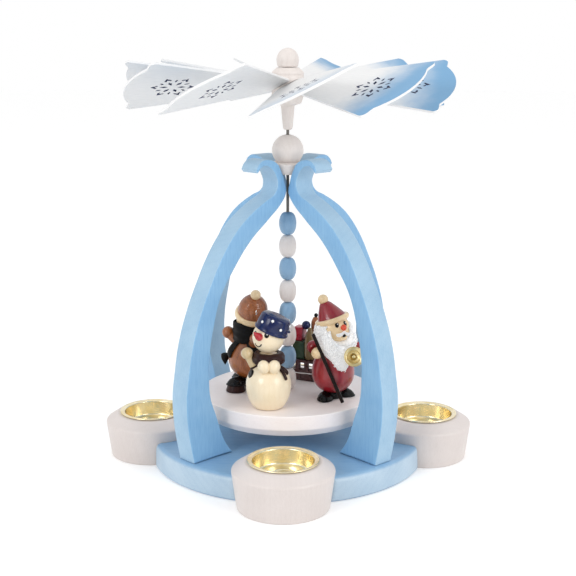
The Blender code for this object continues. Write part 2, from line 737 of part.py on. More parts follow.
def turntable(carousel):
    """White disc with a bevelled underside and a boss that holds it on the shaft."""
    bore = SPINDLE_RADIUS + GAP
    underside = -TURNTABLE_THICKNESS
    lip = TURNTABLE_RADIUS - TURNTABLE_EDGE_ROUND
    profile = [(bore, 0.0)]
    profile += [(lip, 0.0), (TURNTABLE_RADIUS, -TURNTABLE_EDGE_ROUND)]
    profile += [(TURNTABLE_RADIUS, -TURNTABLE_RIM_HEIGHT)]
    profile += [(TURNTABLE_RADIUS - TURNTABLE_UNDERCUT, underside), (BOSS_RADIUS, underside)]
    profile += [(BOSS_RADIUS * 0.8, underside - BOSS_HEIGHT), (bore, underside - BOSS_HEIGHT)]
    disc = turned("turntable", profile, TURNTABLE_STEPS, parent=carousel, bored=True)
    disc.location.z = TURNTABLE_TOP_Z - carousel.location.z
    settle(disc, "white_wood")


def bead_profile():
    """An olive with flat ends, threaded on the shaft."""
    bore = SPINDLE_RADIUS + GAP
    swell = BEAD_RADIUS - BEAD_END_RADIUS
    olive = arc(BEAD_END_RADIUS, BEAD_LENGTH / 2, swell, BEAD_LENGTH / 2, 90, -90, 5)
    return [(bore, BEAD_LENGTH), *olive, (bore, 0.0)]


def beads(carousel):
    """Beads stacked on the turntable, white at the bottom and then in turn with blue."""
    meshes = {}
    for i in range(BEAD_COUNT):
        finish = "mid_blue_wood" if i % 2 else "white_wood"
        height = TURNTABLE_TOP_Z + GAP + i * (BEAD_LENGTH + GAP) - carousel.location.z
        name = f"bead_{i + 1}"
        if finish in meshes:
            copy_of(meshes[finish], name, carousel, placed((0, 0, height)))
        else:
            bead = turned(name, bead_profile(), BEAD_STEPS, parent=carousel, bored=True)
            bead.location.z = height
            meshes[finish] = settle(bead, finish)


def hub_profile():
    """Stem, chamfered foot, drum and bevelled top, with bores for the shaft and the knob's peg."""
    peg_floor = HUB_TOP - PEG_LENGTH - GAP
    drum_top = HUB_DRUM_Z + HUB_DRUM_HEIGHT
    bore = SPINDLE_RADIUS + GAP
    return [
        (0.0, peg_floor), (PEG_RADIUS + GAP, peg_floor), (PEG_RADIUS + GAP, HUB_TOP),
        (HUB_TOP_RADIUS, HUB_TOP), (HUB_RADIUS, drum_top), (HUB_RADIUS, HUB_DRUM_Z),
        (HUB_FOOT_RADIUS, HUB_DRUM_Z - HUB_FOOT_HEIGHT), (STEM_TOP_RADIUS, STEM_HEIGHT),
        (STEM_END_RADIUS, STEM_END_ROUND), (STEM_END_RADIUS - STEM_END_ROUND, 0.0), (bore, 0.0),
        (bore, SPINDLE_SEAT_DEPTH), (0.0, SPINDLE_SEAT_DEPTH),
    ]


def blade_matrix(index, height):
    """Frame of one blade: X outwards, Y across the blade, whose leading edge is tipped up."""
    turn = BLADE_FIRST_DEG + 360 * index / BLADE_COUNT - 90
    return placed((0, 0, height), turn, BLADE_PITCH_DEG, "X")


def hub(impeller):
    """Turned hub with an inclined slot for the root of each blade."""
    solid = turned("hub", hub_profile(), HUB_STEPS, parent=impeller)
    slot_depth = HUB_RADIUS - SLOT_FLOOR_RADIUS + OVERRUN
    slot_size = (slot_depth, 2 * (BLADE_ROOT_HALF_WIDTH + GAP), BLADE_THICKNESS + 2 * GAP)
    slot_centre = (SLOT_FLOOR_RADIUS + slot_depth / 2, 0.0, 0.0)
    for i in range(BLADE_COUNT):
        matrix = blade_matrix(i, blade_height())
        cut(solid, box(f"slot_{i + 1}", slot_size, slot_centre, CUTTERS, impeller, matrix))
    settle(solid, "white_wood")


def blade_height():
    """Height of the blades' pitch axis above the stem's end."""
    return HUB_DRUM_Z + BLADE_HEIGHT_SHARE * HUB_DRUM_HEIGHT


def flake_holes():
    """Slits and arrowheads of a six-armed snowflake."""
    holes = []
    for arm in range(FLAKE_ARMS):
        turn = Matrix.Rotation(2 * math.pi * arm / FLAKE_ARMS, 2)
        for hole_shares in (FLAKE_SLIT_SHARES, FLAKE_ARROW_SHARES):
            points = [turn @ Vector(share) * FLAKE_RADIUS for share in hole_shares]
            holes.append([(FLAKE_PLACE + point.x, point.y, "CORNER") for point in points])
    return holes


def blade_outline():
    """Blade that widens to two rounded shoulders, with a bulging end between them."""
    root = SLOT_FLOOR_RADIUS + GAP
    bulge_start = BLADE_SHOULDER_RADIUS + BLADE_SHOULDER_ROUND
    rise = BLADE_TIP_RADIUS - bulge_start
    bulge_radius = (rise ** 2 + BLADE_BULGE_HALF_WIDTH ** 2) / (2 * rise)
    bulge_angle = math.degrees(math.asin(BLADE_BULGE_HALF_WIDTH / bulge_radius))
    bulge_centre = BLADE_TIP_RADIUS - bulge_radius
    round_x = BLADE_SHOULDER_RADIUS
    round_y = BLADE_HALF_WIDTH - BLADE_SHOULDER_ROUND
    shoulder = arc(round_x, round_y, BLADE_SHOULDER_ROUND, BLADE_SHOULDER_ROUND, 80, 0, 3)
    ear_end = BLADE_HALF_WIDTH - BLADE_EAR_LENGTH
    half = [(root, BLADE_ROOT_HALF_WIDTH), *shoulder, (bulge_start, ear_end)]
    bulge = arc(bulge_centre, 0.0, bulge_radius, bulge_radius, bulge_angle, -bulge_angle, 8)
    mirrored = [(x, -y) for x, y in reversed(half)]
    return [(x, y, "CORNER") for x, y in half + bulge + mirrored]


def blades(impeller):
    """Thin wooden blades, pierced with a snowflake and glued into the hub's slots."""
    mesh = plate("blade", [blade_outline(), *flake_holes()], BLADE_THICKNESS)
    for i in range(BLADE_COUNT):
        matrix = blade_matrix(i, blade_height())
        blade = add_object(f"blade_{i + 1:02d}", mesh, parent=impeller, matrix=matrix)
        if i == 0:
            settle(blade, "white_wood")


def cap_knob(impeller):
    """Domed knob on a narrow foot, with a peg that goes down into the hub."""
    shoulder = KNOB_HEIGHT - KNOB_DOME
    profile = arc(0.0, shoulder, KNOB_RADIUS, KNOB_DOME, 90, 0, 5)
    profile += [
        (KNOB_LOW_RADIUS, KNOB_FOOT_HEIGHT), (KNOB_FOOT_RADIUS, KNOB_FOOT_HEIGHT), (KNOB_FOOT_RADIUS, 0.0),
        (PEG_RADIUS, 0.0), (PEG_RADIUS, GAP - PEG_LENGTH), (0.0, GAP - PEG_LENGTH),
    ]
    knob = turned("cap_knob", profile, BALL_STEPS, parent=impeller, matrix=placed((0, 0, HUB_TOP + GAP)))
    settle(knob, "white_wood")


def barrel(foot, belly, neck, belly_height, height, grow=0.0):
    """Body turned like an egg with a flat foot and a flat neck, grown all round by a clearance."""
    below = belly_height / math.sqrt(1 - (foot / belly) ** 2)
    above = (height - belly_height) / math.sqrt(1 - (neck / belly) ** 2)
    foot_deg = -math.degrees(math.acos(foot / belly))
    neck_deg = math.degrees(math.acos(neck / belly))
    upper = arc(0.0, belly_height, belly + grow, above + grow, neck_deg, 0, 4)
    lower = arc(0.0, belly_height, belly + grow, below + grow, 0, foot_deg, 3)
    return [(0.0, upper[0][1]), *upper, *lower[1:], (0.0, lower[-1][1])]


def barrel_radius(foot, belly, neck, belly_height, height, at):
    """Radius of such a body at a height above its belly."""
    above = (height - belly_height) / math.sqrt(1 - (neck / belly) ** 2)
    return belly * math.sqrt(1 - ((at - belly_height) / above) ** 2)


def scarf_tail(name, figure, sizes, body_z, scarf_low, angle_deg):
    """End of a scarf that lies on the shoulder, with its upper end inside the scarf."""
    height = scarf_low - SCARF_TAIL_LENGTH * TAIL_DROP_SHARE
    distance = barrel_radius(*sizes, height - body_z) + SCARF_TAIL_THICKNESS / 2 + GAP
    radii = (SCARF_TAIL_WIDTH / 2, SCARF_TAIL_THICKNESS / 2, SCARF_TAIL_LENGTH / 2)
    return limb(name, radii, figure, distance, angle_deg, height, TAIL_LEAN_DEG)


def limb(name, radii, parent, distance, angle_deg, height, lean_deg=0.0, collection=None):
    """An ellipsoid beside a body, leaning outwards."""
    matrix = placed(place_at(distance, angle_deg, height), angle_deg, lean_deg, "X")
    return ball(name, radii, SMALL_STEPS, collection or CUTTERS, parent, matrix)


def head_tool(name, radius, parent, height):
    """A head's sphere grown by the clearance of what is worn on it."""
    return ball(name, (radius + GAP,) * 3, FIGURE_STEPS, CUTTERS, parent, placed((0, 0, height)))


def figure_place(name, carousel, radius, angle_deg, facing_deg):
    location = place_at(radius, angle_deg, FIGURE_Z - carousel.location.z)
    return add_empty(name, carousel, location, facing_deg)


def lean_to_viewer_right(location, facing_deg, tilt_deg):
    """Frame of a hat that leans across the view, on a figure that faces another way."""
    turn = Matrix.Rotation(math.radians(-facing_deg), 4, "Z")
    return Matrix.Translation(location) @ turn @ Matrix.Rotation(math.radians(tilt_deg), 4, "Y")


def snowman_arm_place(sizes):
    """Distance and height of the raised arm, whose lower half is sunk into the shoulder."""
    shoulder_radius = barrel_radius(*sizes, SNOWMAN_SHOULDER_HEIGHT - SNOWMAN_ARM_LENGTH / 4)
    distance = shoulder_radius + SNOWMAN_ARM_RADIUS * ARM_STAND_SHARE
    return distance, SNOWMAN_SHOULDER_HEIGHT + SNOWMAN_ARM_RADIUS * 0.7


def snowman_hand_place(sizes):
    """Distance and height of the hands, which are sunk into the chest below the scarf."""
    chest_radius = barrel_radius(*sizes, SNOWMAN_SHOULDER_HEIGHT - SNOWMAN_HAND_RADIUS * 0.6)
    distance = chest_radius + SNOWMAN_HAND_RADIUS * HAND_STAND_SHARE
    return distance, SNOWMAN_SHOULDER_HEIGHT + SNOWMAN_HAND_RISE


def snowman(carousel):
    """Snowman with a cooking pot for a hat."""
    figure = figure_place(
        "snowman_place", carousel, SNOWMAN_PLACE_RADIUS, SNOWMAN_PLACE_DEG, SNOWMAN_FACING_DEG)
    head_z = SNOWMAN_SHOULDER_HEIGHT + SNOWMAN_NECK_HEIGHT + GAP + SNOWMAN_HEAD_RADIUS
    sizes = (SNOWMAN_FOOT_RADIUS, SNOWMAN_RADIUS, SNOWMAN_NECK_RADIUS, SNOWMAN_BELLY_HEIGHT,
             SNOWMAN_SHOULDER_HEIGHT)
    profile = barrel(*sizes)
    neck_top = SNOWMAN_SHOULDER_HEIGHT + SNOWMAN_NECK_HEIGHT
    body = turned("snowman_body", [(0.0, neck_top), (SNOWMAN_NECK_RADIUS, neck_top), *profile[1:]],
                  FIGURE_STEPS, parent=figure)
    arm_radii = (SNOWMAN_ARM_RADIUS, SNOWMAN_ARM_RADIUS, SNOWMAN_ARM_LENGTH / 2)
    arm_distance, arm_height = snowman_arm_place(sizes)
    arm = limb("snowman_arm", arm_radii, figure, arm_distance, SNOWMAN_ARM_DEG, arm_height, SNOWMAN_ARM_LEAN_DEG)
    hands = []
    hand_distance, hand_height = snowman_hand_place(sizes)
    for i, angle_deg in enumerate(SNOWMAN_HAND_DEGS):
        hand_radii = (SNOWMAN_HAND_RADIUS, SNOWMAN_HAND_RADIUS, SNOWMAN_HAND_RADIUS)
        hands.append(limb(f"snowman_hand_{i}", hand_radii, figure, hand_distance, angle_deg, hand_height))
    join(body, arm, *hands)

    head_radii = (SNOWMAN_HEAD_RADIUS,) * 3
    head = ball("snowman_head", head_radii, FIGURE_STEPS, None, figure, placed((0, 0, head_z)))
    cut(arm, head_tool("snowman_arm_room", SNOWMAN_HEAD_RADIUS, figure, head_z))

    nose_profile = [(0.0, NOSE_LENGTH), (NOSE_RADIUS * 0.5, NOSE_LENGTH * 0.6), (NOSE_RADIUS, 0.0)]
    nose_profile += [(NOSE_RADIUS, -NOSE_RADIUS), (0.0, -NOSE_RADIUS)]
    nose_root = (0, -(SNOWMAN_HEAD_RADIUS + GAP) * math.cos(math.radians(NOSE_RISE_DEG)),
                 head_z + (SNOWMAN_HEAD_RADIUS + GAP) * math.sin(math.radians(NOSE_RISE_DEG)))
    nose = turned("snowman_nose", nose_profile, SMALL_STEPS, parent=figure,
                  matrix=placed(nose_root, 0, 90 - NOSE_TILT_DEG, "X"))
    cut(nose, head_tool("snowman_nose_room", SNOWMAN_HEAD_RADIUS, figure, head_z))

    pot = snowman_pot(figure, head_z)
    scarf = snowman_scarf(figure, sizes, head_z)
    settle(body, "cream_wood")
    settle(head, "cream_wood")
    settle(nose, "carrot_red_wood")
    settle(pot, "navy_wood")
    settle(scarf, "dark_brown_wood")


def snowman_pot(figure, head_z):
    """Upturned pot with a rolled rim and an ear, hollowed to sit on the head."""
    rim_r = POT_RADIUS + POT_RIM_ROLL / 2
    profile = [
        (0.0, POT_HEIGHT + POT_RIM_ROLL), (POT_TOP_RADIUS - POT_RIM_ROLL * 2, POT_HEIGHT + POT_RIM_ROLL / 2),
        (POT_TOP_RADIUS, POT_HEIGHT - POT_RIM_ROLL), (POT_RADIUS, POT_RIM_ROLL * 2),
        (rim_r, POT_RIM_ROLL), (rim_r, 0.0), (0.0, 0.0),
    ]
    matrix = lean_to_viewer_right((0, 0, head_z), SNOWMAN_FACING_DEG, POT_TILT_DEG)
    seat = matrix @ Matrix.Translation((0, 0, POT_SEAT_RISE))
    pot = turned("snowman_pot_hat", profile, FIGURE_STEPS, parent=figure, matrix=seat)
    ear_matrix = seat @ Matrix.Translation((POT_RADIUS + POT_HANDLE_RADIUS / 2, 0, POT_HANDLE_RADIUS * 2))
    ear = ball("pot_ear", (POT_HANDLE_RADIUS,) * 3, SMALL_STEPS, CUTTERS, figure, ear_matrix)
    join(pot, ear)
    cut(pot, head_tool("pot_room", SNOWMAN_HEAD_RADIUS, figure, head_z))
    return pot


def snowman_scarf(figure, body_sizes, head_z):
    """Scarf wound round the neck, with two tails at one side."""
    inner = SNOWMAN_NECK_RADIUS + GAP
    low = SNOWMAN_SHOULDER_HEIGHT + GAP
    height = SNOWMAN_NECK_HEIGHT
    swell = SCARF_RADIUS - inner
    profile = [(inner, low + height)]
    profile += arc(inner + swell / 2, low + height / 2, swell / 2, height / 2, 90, -90, 4)
    profile.append((inner, low))
    scarf = turned("snowman_scarf", profile, FIGURE_STEPS, parent=figure, bored=True)
    for i, angle_deg in enumerate(SNOWMAN_TAIL_DEGS):
        join(scarf, scarf_tail(f"scarf_tail_{i}", figure, body_sizes, 0.0, low, angle_deg))
    body_tool = turned("scarf_body_room", barrel(*body_sizes, GAP), FIGURE_STEPS, CUTTERS, figure)
    cut(scarf, body_tool, head_tool("scarf_head_room", SNOWMAN_HEAD_RADIUS, figure, head_z))
    hand_distance, hand_height = snowman_hand_place(body_sizes)
    for i, angle_deg in enumerate(SNOWMAN_HAND_DEGS):
        reach = SNOWMAN_HAND_RADIUS + GAP
        cut(scarf, limb(f"scarf_hand_room_{i}", (reach,) * 3, figure, hand_distance, angle_deg, hand_height))
    arm_distance, arm_height = snowman_arm_place(body_sizes)
    arm_reach = SNOWMAN_ARM_RADIUS + GAP
    arm_radii = (arm_reach, arm_reach, SNOWMAN_ARM_LENGTH / 2 + GAP)
    cut(scarf, limb("scarf_arm_room", arm_radii, figure, arm_distance, SNOWMAN_ARM_DEG, arm_height,
                    SNOWMAN_ARM_LEAN_DEG))
    return scarf


def bobble_hat(name, figure, head_radius, head_z, facing_deg, tilt_deg, seat_rise, cone_height, middle_radius):
    """Pointed hat with a rolled brim and a bobble, hollowed to sit on the head."""
    brim = HAT_BRIM_HEIGHT / 2
    cone_top = HAT_BRIM_HEIGHT + cone_height
    bobble_z = cone_top + HAT_BOBBLE_RADIUS * 0.6
    profile = arc(0.0, bobble_z, HAT_BOBBLE_RADIUS, HAT_BOBBLE_RADIUS, 90, -50, 3)
    profile += [
        (middle_radius, HAT_BRIM_HEIGHT + cone_height / 2),
        (HAT_CONE_RADIUS, HAT_BRIM_HEIGHT),
    ]
    profile += arc(HAT_BRIM_RADIUS - brim, brim, brim, brim, 60, -90, 3)
    profile.append((0.0, 0.0))
    seat = lean_to_viewer_right((0, 0, head_z), facing_deg, tilt_deg)
    seat = seat @ Matrix.Translation((0, 0, seat_rise))
    hat = turned(name, profile, FIGURE_STEPS, parent=figure, matrix=seat)
    cut(hat, head_tool(f"{name}_room", head_radius, figure, head_z))
    return hat


def boots(name, figure, forward, stand_height=0.0):
    """Two boots with splayed toes, joined under the body by a round sole."""
    sole = [(0.0, stand_height + HEEL_HEIGHT), (HEEL_RADIUS, stand_height + HEEL_HEIGHT)]
    sole += [(HEEL_RADIUS, 0.0), (0.0, 0.0)]
    pair = turned(name, sole, FIGURE_STEPS, parent=figure)
    for side in (-1, 1):
        matrix = placed((side * BOOT_SPREAD, -forward, stand_height), side * BOOT_SPLAY_DEG)
        radii = (BOOT_WIDTH / 2, BOOT_LENGTH / 2, BOOT_HEIGHT)
        boot = ball(f"{name}_{side}", radii, SMALL_STEPS, CUTTERS, figure, matrix)
        if stand_height:
            stand_profile = [(0.0, stand_height), (STAND_TOP_RADIUS, stand_height), (STAND_RADIUS, 0.0)]
            stand_profile.append((0.0, 0.0))
            stand_matrix = placed((side * BOOT_SPREAD, -forward, 0.0))
            stand_name = f"{name}_stand_{side}"
            join(pair, turned(stand_name, stand_profile, SMALL_STEPS, CUTTERS, figure, stand_matrix))
        join(pair, boot)
    reach = BOOT_SPREAD + BOOT_LENGTH
    floor = box(f"{name}_floor", (2 * reach, 2 * reach, reach), (0, 0, -reach / 2), CUTTERS, figure)
    cut(pair, floor)
    return pair


def santa(carousel):
    """Gift bringer with a long beard, a staff in one hand and a bell in the other."""
    figure = figure_place("santa_place", carousel, SANTA_PLACE_RADIUS, SANTA_PLACE_DEG, SANTA_FACING_DEG)
    sizes = (SANTA_FOOT_RADIUS, SANTA_RADIUS, SANTA_NECK_RADIUS, SANTA_BELLY_HEIGHT, SANTA_BODY_HEIGHT)
    body_z = HEEL_HEIGHT + GAP
    head_z = body_z + SANTA_BODY_HEIGHT + GAP + SANTA_HEAD_RADIUS
    body = turned("santa_body", barrel(*sizes), FIGURE_STEPS, parent=figure, matrix=placed((0, 0, body_z)))
    body_tool = turned("santa_body_room", barrel(*sizes, GAP), FIGURE_STEPS, CUTTERS, figure,
                       placed((0, 0, body_z)))
    pair = boots("santa_boots", figure, SANTA_BOOT_FORWARD)
    cut(pair, body_tool)

    head = ball("santa_head", (SANTA_HEAD_RADIUS,) * 3, FIGURE_STEPS, None, figure, placed((0, 0, head_z)))
    nose = ball("santa_nose", (SANTA_NOSE_RADIUS,) * 3, SMALL_STEPS, CUTTERS, figure,
                placed((0, -SANTA_HEAD_RADIUS, head_z + SANTA_NOSE_RADIUS / 2)))
    join(head, nose)
    hat_sizes = (SANTA_HEAD_RADIUS, head_z, SANTA_FACING_DEG, SANTA_HAT_TILT_DEG, HAT_SEAT_RISE,
                 HAT_CONE_HEIGHT, HAT_MIDDLE_RADIUS)
    hat = bobble_hat("santa_hat", figure, *hat_sizes)

    beard = santa_beard("santa_beard", figure, head_z, 0.0, None)
    hat_tool = bobble_hat("santa_hat_room", figure, *hat_sizes)
    swap_to_tool(hat_tool, GAP)
    face_radii = (SANTA_HEAD_RADIUS * 0.66, SANTA_HEAD_RADIUS * 0.8, SANTA_HEAD_RADIUS * 0.72)
    face = ball("santa_face_room", face_radii, FIGURE_STEPS, CUTTERS, figure,
                placed((0, -SANTA_HEAD_RADIUS * 1.35, head_z + SANTA_NOSE_RADIUS)))
    cut(beard, head_tool("beard_head_room", SANTA_HEAD_RADIUS, figure, head_z), body_tool, face, hat_tool)

    right = santa_arm("santa_right_arm", figure, *SANTA_RIGHT_ARM_DEGS, body_z + SANTA_BODY_HEIGHT)
    left = santa_arm("santa_left_arm", figure, *SANTA_LEFT_ARM_DEGS, body_z + SANTA_BODY_HEIGHT)
    beard_tool = santa_beard("santa_beard_room", figure, head_z, GAP, CUTTERS)
    for arm in (right, left):
        cut(arm, body_tool, beard_tool, head_tool(f"{arm.name}_room", SANTA_HEAD_RADIUS, figure, head_z))
    staff = santa_staff("santa_staff", figure, body_z)
    cut(right, santa_staff("santa_staff_room", figure, body_z, GAP, CUTTERS))
    bell = santa_bell(figure, body_z)
    settle(body, "red_wood")
    settle(pair, "black_wood")
    settle(head, "skin_wood")
    settle(hat, "red_wood")
    settle(beard, "white_fleece")
    settle(right, "red_wood")
    settle(left, "red_wood")
    settle(staff, "dark_brown_wood")
    settle(bell, "brass")


def swap_to_tool(obj, grow):
    """Make a finished shape into a cutter that stands a clearance proud all round."""
    PARTS.objects.unlink(obj)
    CUTTERS.objects.link(obj)
    room = obj.modifiers.new("Clearance", "DISPLACE")
    room.mid_level = 0.0
    room.strength = grow


def santa_beard(name, figure, head_z, grow, collection):
    """Teardrop that hangs from the face, with its tip forward over the belly."""
    widest = BEARD_LENGTH * 0.72
    profile = arc(0.0, widest - BEARD_LENGTH, BEARD_RADIUS + grow, BEARD_LENGTH - widest + grow, 90, 0, 3)
    profile += arc(0.0, widest - BEARD_LENGTH, BEARD_RADIUS + grow, widest + grow, 0, -90, 4)[1:]
    top = (0, -BEARD_FORWARD / 2, head_z)
    return turned(name, profile, FIGURE_STEPS, collection, figure, placed(top, 0, BEARD_TILT_DEG, "X"))


def santa_arm(name, figure, sleeve_deg, glove_deg, shoulder_z):
    """Upper arm, cuff ball and glove in one piece."""
    reach = SANTA_RADIUS + SLEEVE_RADIUS / 4
    sleeve_z = shoulder_z - SLEEVE_RADIUS / 3
    arm_radii = (SLEEVE_RADIUS * 0.8, SLEEVE_RADIUS * 1.3, SLEEVE_RADIUS * 0.8)
    arm = limb(name, arm_radii, figure, reach - SLEEVE_RADIUS, sleeve_deg, sleeve_z - SLEEVE_RADIUS / 4,
               collection=PARTS)
    sleeve = limb(f"{name}_sleeve", (SLEEVE_RADIUS,) * 3, figure, reach, sleeve_deg, sleeve_z)
    glove = limb(f"{name}_glove", (GLOVE_RADIUS,) * 3, figure, reach + GLOVE_RADIUS / 4, glove_deg,
                 sleeve_z - GLOVE_RADIUS)
    join(arm, sleeve, glove)
    return arm


def santa_staff(name, figure, body_z, grow=0.0, collection=None):
    """Thin staff that leans across the front, through the glove down to the boots."""
    length = body_z + SANTA_BODY_HEIGHT + SANTA_HEAD_RADIUS
    radius = STAFF_RADIUS + grow
    profile = [(0.0, length + grow), (radius, length + grow), (radius, -grow), (0.0, -grow)]
    foot = place_at(STAFF_REACH, STAFF_FOOT_DEG, GAP + STAFF_RADIUS)
    head = place_at(STAFF_REACH, STAFF_HEAD_DEG, length)
    direction = (head - foot).to_track_quat("Z", "Y").to_matrix().to_4x4()
    return turned(name, profile, SMALL_STEPS, collection, figure, Matrix.Translation(foot) @ direction)


def santa_bell(figure, body_z):
    """Hand bell seen from its mouth, with its clapper."""
    floor = BELL_LENGTH - BELL_WALL
    profile = [
        (0.0, BELL_LENGTH), (BELL_RADIUS * 0.45, BELL_LENGTH * 0.9), (BELL_RADIUS * 0.6, BELL_LENGTH * 0.4),
        (BELL_RADIUS, 0.0), (BELL_RADIUS - BELL_WALL, 0.0),
        (BELL_RADIUS * 0.6 - BELL_WALL, BELL_LENGTH * 0.4),
        (BELL_RADIUS * 0.45 - BELL_WALL, floor * 0.9), (CLAPPER_RADIUS / 2, floor * 0.9),
        (CLAPPER_RADIUS / 2, CLAPPER_RADIUS * 2), (CLAPPER_RADIUS, CLAPPER_RADIUS),
        (0.0, 0.0),
    ]
    reach = SANTA_RADIUS + SLEEVE_RADIUS + GLOVE_RADIUS
    place = place_at(reach, BELL_DEG, body_z + SANTA_BODY_HEIGHT - BELL_RADIUS)
    matrix = Matrix.Translation(place) @ placed((0, 0, 0), BELL_TURN_DEG, -90, "X")
    return turned("santa_bell", profile, FIGURE_STEPS, parent=figure, matrix=matrix)


def child(carousel):
    """Child in a brown coat, who turns away."""
    figure = figure_place("child_place", carousel, CHILD_PLACE_RADIUS, CHILD_PLACE_DEG, CHILD_FACING_DEG)
    sizes = (CHILD_FOOT_RADIUS, CHILD_RADIUS, CHILD_NECK_RADIUS, CHILD_BELLY_HEIGHT, CHILD_BODY_HEIGHT)
    body_z = STAND_HEIGHT + HEEL_HEIGHT + GAP
    head_z = body_z + CHILD_BODY_HEIGHT + GAP + CHILD_HEAD_RADIUS
    shoulder_z = body_z + CHILD_BODY_HEIGHT
    body = turned("child_body", barrel(*sizes), FIGURE_STEPS, parent=figure, matrix=placed((0, 0, body_z)))
    body_tool = turned("child_body_room", barrel(*sizes, GAP), FIGURE_STEPS, CUTTERS, figure,
                       placed((0, 0, body_z)))
    pair = boots("child_boots", figure, CHILD_BOOT_FORWARD, STAND_HEIGHT)
    cut(pair, body_tool)

    head = ball("child_head", (CHILD_HEAD_RADIUS,) * 3, FIGURE_STEPS, None, figure, placed((0, 0, head_z)))
    nose = ball("child_nose", (SANTA_NOSE_RADIUS,) * 3, SMALL_STEPS, CUTTERS, figure,
                placed((0, -CHILD_HEAD_RADIUS, head_z + SANTA_NOSE_RADIUS)))
    join(head, nose)
    hat_sizes = (CHILD_HEAD_RADIUS, head_z, CHILD_FACING_DEG, CHILD_HAT_TILT_DEG, CHILD_HAT_SEAT_RISE,
                 CHILD_HAT_HEIGHT, CHILD_HAT_MIDDLE_RADIUS)
    hat = bobble_hat("child_hat", figure, *hat_sizes)
    hat_tool = bobble_hat("child_hat_room", figure, *hat_sizes)
    swap_to_tool(hat_tool, GAP)

    arm_radii = (SLEEVE_RADIUS * 0.8, SLEEVE_RADIUS * 0.8, CHILD_ARM_LENGTH / 2)
    arms, rooms = [], []
    for i, angle_deg in enumerate(CHILD_ARM_DEGS):
        arm_place = (CHILD_RADIUS * 0.8, angle_deg, shoulder_z - SLEEVE_RADIUS * 0.4, CHILD_ARM_LEAN_DEG)
        arms.append(limb(f"child_arm_{i}", arm_radii, figure, *arm_place))
        room_radii = [radius + GAP for radius in arm_radii]
        rooms.append(limb(f"child_arm_room_{i}", room_radii, figure, *arm_place))
        cut(arms[-1], head_tool(f"child_arm_head_room_{i}", CHILD_HEAD_RADIUS, figure, head_z))
    join(body, *arms)

    collar_low = shoulder_z - CHILD_SCARF_HEIGHT * 0.25
    collar_high = collar_low + CHILD_SCARF_HEIGHT
    collar = [
        (0.0, collar_high), (CHILD_SCARF_RADIUS, collar_high),
        (CHILD_SCARF_RADIUS * 1.06, (collar_low + collar_high) / 2), (CHILD_SCARF_RADIUS, collar_low),
        (0.0, collar_low),
    ]
    scarf = turned("child_scarf", collar, FIGURE_STEPS, parent=figure)
    join(scarf, scarf_tail("child_scarf_tail", figure, sizes, body_z, collar_low, CHILD_TAIL_DEG))
    head_room = head_tool("child_scarf_head_room", CHILD_HEAD_RADIUS, figure, head_z)
    cut(scarf, body_tool, head_room, hat_tool, *rooms)

    basket = child_basket(figure, body_z)
    settle(body, "brown_wood")
    settle(pair, "black_wood")
    settle(head, "skin_wood")
    settle(hat, "brown_wood")
    settle(scarf, "black_wood")
    settle(basket, "black_wood")


def child_basket(figure, body_z):
    """Small dark basket with a stick, close to the coat."""
    profile = [
        (0.0, BASKET_HEIGHT), (BASKET_RADIUS, BASKET_HEIGHT), (BASKET_RADIUS * 0.8, BASKET_HEIGHT * 0.1),
        (BASKET_STICK_RADIUS, 0.0), (BASKET_STICK_RADIUS, -BASKET_STICK_LENGTH), (0.0, -BASKET_STICK_LENGTH),
    ]
    place = place_at(CHILD_RADIUS + GAP + BASKET_RADIUS, 0, body_z + CHILD_BELLY_HEIGHT - BASKET_HEIGHT / 2)
    return turned("child_basket", profile, SMALL_STEPS, parent=figure, matrix=placed(place))


